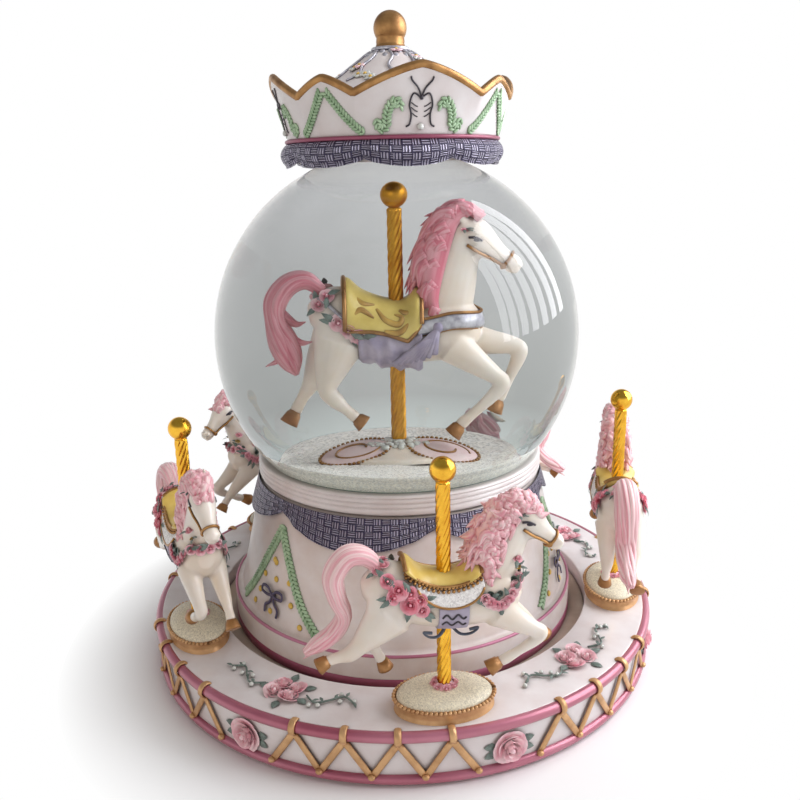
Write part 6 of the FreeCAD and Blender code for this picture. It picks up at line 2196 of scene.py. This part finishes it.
@dataclass
class InnerScene:
    """What stands in the globe: a floor of snow, a scrolled mound, a pole and a horse."""

    floor: float = 63.5
    reach: float = 41.6
    snow_steps: int = 160
    ripple: float = 0.35
    grains: float = 0.12
    centre: float = 91.31
    mound: float = 4.2
    mound_squeeze: float = 0.72
    shell: tuple[float, float, float] = (7.6, 5.6, 1.0)
    shell_place: tuple[float, float, float] = (9.2, -2.6, 1.7)
    shell_tilt: tuple[float, float, float] = (0.22, -0.30, 1.0)
    foam: int = 90
    shoulder: float = 117.0
    pole_radius: float = 1.55
    ball: float = 119.9
    ball_radius: float = 2.9

    def build(self) -> None:
        """Makes every piece inside the globe."""
        show("snow_bed", self.snow(), Paint.SNOW, replaces=("snow_floor",))
        profile = smooth_curve([(14.2, self.floor), (13.2, self.floor + 1.0), (9.6, self.floor + 1.9),
                                (6.0, self.floor + 3.2), (0.3, self.floor + self.mound)], 6)
        show("inner_mound", oval(profile, self.mound_squeeze), Paint.HORSE, replaces=("inner_plinth",))
        self.scroll_leaves()
        pole = Pole(self.floor, self.shoulder, self.ball, self.pole_radius, self.ball_radius).build()
        show("inner_pole_rod", pole, Paint.SATIN_GOLD, replaces=("inner_pole",))
        horse = Horse(TROT, saddle_back=-11.0, saddle_front=5.4)
        horse.make()
        place = Matrix.Translation(Vector((0, 0, self.centre * MM)))
        horse.put("inner_rider", Body.BASE, place, "inner_horse")

    def snow(self) -> Surface:
        """Rippled floor of snow with a skirt down the inside of the glass.

        Returns:
            One open sheet.
        """
        chance = np.random.default_rng(SEED + 6)
        turn = full_turn(self.snow_steps)
        rows = []
        for r in np.linspace(0.05, self.reach, 60):
            ripple = self.ripple * np.sin(3 * turn + r / 4) * np.sin(r / 5)
            ripple += chance.uniform(-self.grains, self.grains, self.snow_steps)
            level = self.floor - 0.2 + ripple * min(1, (42 - r) / 8)
            rows.append(np.stack([r * np.sin(turn), -r * np.cos(turn), level], 1))
        ball = Globe()
        for z in np.linspace(self.floor - 1.2, ball.mouth + 0.6, 5):
            r = math.sqrt(ball.radius ** 2 - (z - ball.centre) ** 2) - 0.7
            rows.append(np.stack([r * np.sin(turn), -r * np.cos(turn), np.full(self.snow_steps, z)], 1))
        return Surface().net(np.array(rows), cap=False)

    def scroll_leaves(self) -> None:
        """Two flat painted shells with gilt edges and scrolls, and a heap of white beads round the pole."""
        shells, edges, foam = Surface(), Surface(), Surface()
        chance = np.random.default_rng(SEED + 7)
        turn = np.linspace(0, 2 * math.pi, 60)
        for side in (-1, 1):
            mirror = np.array([side, 1.0, 1.0])
            middle = self.shell_place * mirror + (0.0, 0.0, self.floor)
            place = lying(middle, self.shell_tilt * mirror, (1, 0, 0))
            shells.join(ellipsoid(self.shell, 36), place)
            rim = np.stack([self.shell[0] * np.cos(turn), self.shell[1] * np.sin(turn),
                            np.full(len(turn), 0.25)], 1)
            curl = np.stack([(5.6 - 0.5 * turn) * np.cos(side * turn),
                             (4.0 - 0.36 * turn) * np.sin(side * turn), 0.6 + 0.08 * turn], 1)
            edges.join(beads(even(rim, 1.0), 0.42, 6), place).join(sweep(curl, 0.26, 6), place)
        for _ in range(self.foam):
            a, r = chance.uniform(0, 2 * math.pi), chance.uniform(1.6, 6.4)
            at = (1.2 * r * math.cos(a), 0.8 * r * math.sin(a), self.floor + self.mound - 0.20 * r)
            foam.join(ellipsoid((0.8, 0.8, 0.7), 8), facing(at, size=chance.uniform(0.7, 1.3)))
        show("inner_shells", shells, Paint.SHELL)
        show("inner_shell_edges", edges, Paint.OLD_GOLD)
        show("inner_foam", foam, Paint.PEARL)


class Works:
    """CAD nodes that keep their own shape, by finish."""

    finishes: dict[Paint, tuple[str, ...]] = {
        Paint.CASE: ("base_pan", "deck_plate"), Paint.DECK: ("slip_ring",), Paint.RUBBER: ("rubber_feet",),
        Paint.NYLON: ("glide_pads", "ring_gear", "lay_gear", "lay_pinion", "worm_wheel", "globe_stopper"),
        Paint.IVORY: ("crown_seat",),
        Paint.STEEL: ("chassis_screws", "rim_screws", "ring_screws", "bedplate_screws", "comb_screws",
                      "comb", "mainspring", "lay_shaft", "cylinder_arbor", "winding_arbor",
                      "governor_worm", "governor_fan"),
        Paint.BRASS: ("winding_key", "great_wheel", "spring_barrel", "barrel_cover", "crown_pinion",
                      "pin_cylinder", "governor_bracket", "bedplate", "cylinder_bracket", "comb_base"),
    }

    def build(self) -> None:
        """Gives each node its finish."""
        for paint, names in self.finishes.items():
            for name in names:
                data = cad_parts[name].data
                data.materials.clear()
                data.materials.append(PALETTE.get(paint))
                LOG.info("%s keeps its CAD form in %s", name, paint.value.name)


@dataclass
class Studio:
    """Camera, lamps, floor and background."""

    eye: tuple[float, float, float] = (0.0, -226.164, 134.532)
    yaw: float = 0.13
    pitch: float = 15.72
    roll: float = -1.23
    view_angle: float = 52.13
    aim: tuple[float, float, float] = (0.0, 0.0, 80.0)
    window: tuple[float, float, float] = (310.0, -20.0, 250.0)
    window_run: tuple[float, float] = (-0.25, 0.95)
    window_light: Colour = (250, 250, 255)
    panes: int = 7
    pane_size: tuple[float, float] = (37.0, 340.0)
    pane_spacing: float = 52.0
    pane_power: float = 0.28
    ceiling: tuple[float, float, float] = (-40.0, -60.0, 520.0)
    ceiling_size: tuple[float, float] = (500.0, 400.0)
    ceiling_power: float = 0.60
    ceiling_light: Colour = (255, 250, 246)
    room: tuple[float, float, float] = (-260.0, -420.0, 240.0)
    room_size: tuple[float, float] = (360.0, 300.0)
    room_power: float = 0.63
    room_light: Colour = (255, 241, 232)
    world_strength: float = 0.24
    fade_start: float = 0.073
    fade_end: float = 0.1

    def camera(self) -> None:
        """Puts the camera where the photograph was taken from."""
        yaw, pitch, roll = (math.radians(a) for a in (self.yaw, self.pitch, self.roll))
        ahead = Vector((math.sin(yaw) * math.cos(pitch), math.cos(yaw) * math.cos(pitch), -math.sin(pitch)))
        right = ahead.cross(Vector(UP)).normalized()
        up = right.cross(ahead)
        level = right * math.cos(roll) + up * math.sin(roll)
        upright = up * math.cos(roll) - right * math.sin(roll)
        data = bpy.data.cameras.new("camera")
        data.sensor_fit = "HORIZONTAL"
        data.angle = math.radians(self.view_angle)
        data.clip_start = 0.01
        made = bpy.data.objects.new("camera", data)
        turn = Matrix((level, upright, -ahead)).transposed().to_4x4()
        made.matrix_world = Matrix.Translation(Vector(self.eye) * MM) @ turn
        bpy.context.scene.collection.objects.link(made)
        bpy.context.scene.camera = made

    def lamp(self, name: str, at: Sequence[float], size: tuple[float, float], power: float, colour: Colour,
             mirrored: bool = False) -> None:
        """Adds a soft panel aimed at the object.

        Args:
            name: Name of the lamp.
            at: Its middle, in millimetres.
            size: Its width and height, in millimetres.
            power: Its power in watts.
            colour: Its colour.
            mirrored: Whether it shows in shiny surfaces.
        """
        data = bpy.data.lights.new(name, "AREA")
        data.shape = "RECTANGLE"
        data.size, data.size_y = size[0] * MM, size[1] * MM
        data.energy = power
        data.color = linear(colour)[:3]
        made = bpy.data.objects.new(name, data)
        made.visible_glossy = mirrored
        aim = Vector(self.aim) - Vector(at)
        turn = aim.to_track_quat("-Z", "Y").to_matrix().to_4x4()
        made.matrix_world = Matrix.Translation(Vector(at) * MM) @ turn
        bpy.context.scene.collection.objects.link(made)

    def lights(self) -> None:
        """A tall window of narrow panes on the right, soft light from above and a warm room in front."""
        x, y, z = self.window
        for pane in range(self.panes):
            shift = self.pane_spacing * (pane - self.panes // 2)
            at = (x + self.window_run[0] * shift, y + self.window_run[1] * shift, z)
            name = "window_pane_%d" % pane
            self.lamp(name, at, self.pane_size, self.pane_power, self.window_light, True)
        self.lamp("ceiling", self.ceiling, self.ceiling_size, self.ceiling_power, self.ceiling_light)
        self.lamp("room", self.room, self.room_size, self.room_power, self.room_light)

    @staticmethod
    def plain_view(nodes: Nodes) -> bpy.types.NodeSocket:
        """Mask of the rays that show the background: seen straight, mirrored or through glass.

        Args:
            nodes: Nodes of the tree that the mask is for.

        Returns:
            The socket of the mask.
        """
        rays = nodes.node("ShaderNodeLightPath").outputs
        found = rays["Is Camera Ray"]
        for kind in ("Is Glossy Ray", "Is Transmission Ray"):
            found = nodes.maths("MAXIMUM", found, rays[kind])
        return found

    def world(self) -> None:
        """White background that greys high overhead, and a soft light of the same colours."""
        world = bpy.data.worlds.new("studio")
        bpy.context.scene.world = world
        world.use_nodes = True
        world.node_tree.nodes.clear()
        nodes = Nodes(world.node_tree)
        high = nodes.remap(nodes.parts(nodes.place("Generated"))[2], 0.2, 0.55)
        colour = nodes.blend(high, (1, 1, 1, 1), linear((136, 142, 150)))
        seen = nodes.node("ShaderNodeBackground", {"Color": colour})
        lit = nodes.node("ShaderNodeBackground", {"Color": colour, "Strength": self.world_strength})
        mix = nodes.node("ShaderNodeMixShader", {0: self.plain_view(nodes), 1: lit.outputs[0],
                                                 2: seen.outputs[0]})
        nodes.node("ShaderNodeOutputWorld", {0: mix.outputs[0]})

    def floor_material(self) -> bpy.types.Material:
        """Plain pale paint that fades to white away from the object's shadow.

        Returns:
            The new material.
        """
        made = bpy.data.materials.new("studio_floor")
        made.use_nodes = True
        nodes = Nodes(made.node_tree)
        shader = made.node_tree.nodes["Principled BSDF"]
        length = nodes.node("ShaderNodeVectorMath", {0: nodes.place()}, operation="LENGTH")
        far = length.outputs["Value"]
        colour = nodes.blend(nodes.remap(far, 0.1, 0.6), linear((244, 244, 244)), linear((236, 238, 240)))
        nodes.feed(shader, {"Base Color": colour, "Roughness": 0.7})
        fade = nodes.remap(far, self.fade_start, self.fade_end)
        white = nodes.node("ShaderNodeEmission")
        mix = nodes.node("ShaderNodeMixShader", {0: nodes.maths("MULTIPLY", self.plain_view(nodes), fade),
                                                 1: shader.outputs[0], 2: white.outputs[0]})
        nodes.feed(made.node_tree.nodes["Material Output"], {"Surface": mix.outputs[0]})
        return made

    def floor(self) -> None:
        """Lays the floor."""
        mesh = lathe([(0.01, 0.0), (150.0, 0.0), (300.0, 0.0), (1500.0, 0.0)], 64).mesh("studio_floor")
        mesh.materials.append(self.floor_material())
        floor = bpy.data.objects.new("studio_floor", mesh)
        bpy.context.scene.collection.objects.link(floor)

    def build(self) -> None:
        """Sets up the whole studio."""
        self.camera()
        self.lights()
        self.world()
        self.floor()
        bpy.context.scene.view_settings.view_transform = "Standard"


def main() -> None:
    """Builds the object's sub-assemblies, then the studio."""
    logging.basicConfig(level=logging.INFO, format="%(name)s: %(message)s")
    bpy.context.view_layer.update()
    Works().build()
    Drum().build()
    Crown().build()
    InnerScene().build()
    Globe().build()
    HorseRing().build()
    Studio().build()


if __name__ == "__main__":
    main()
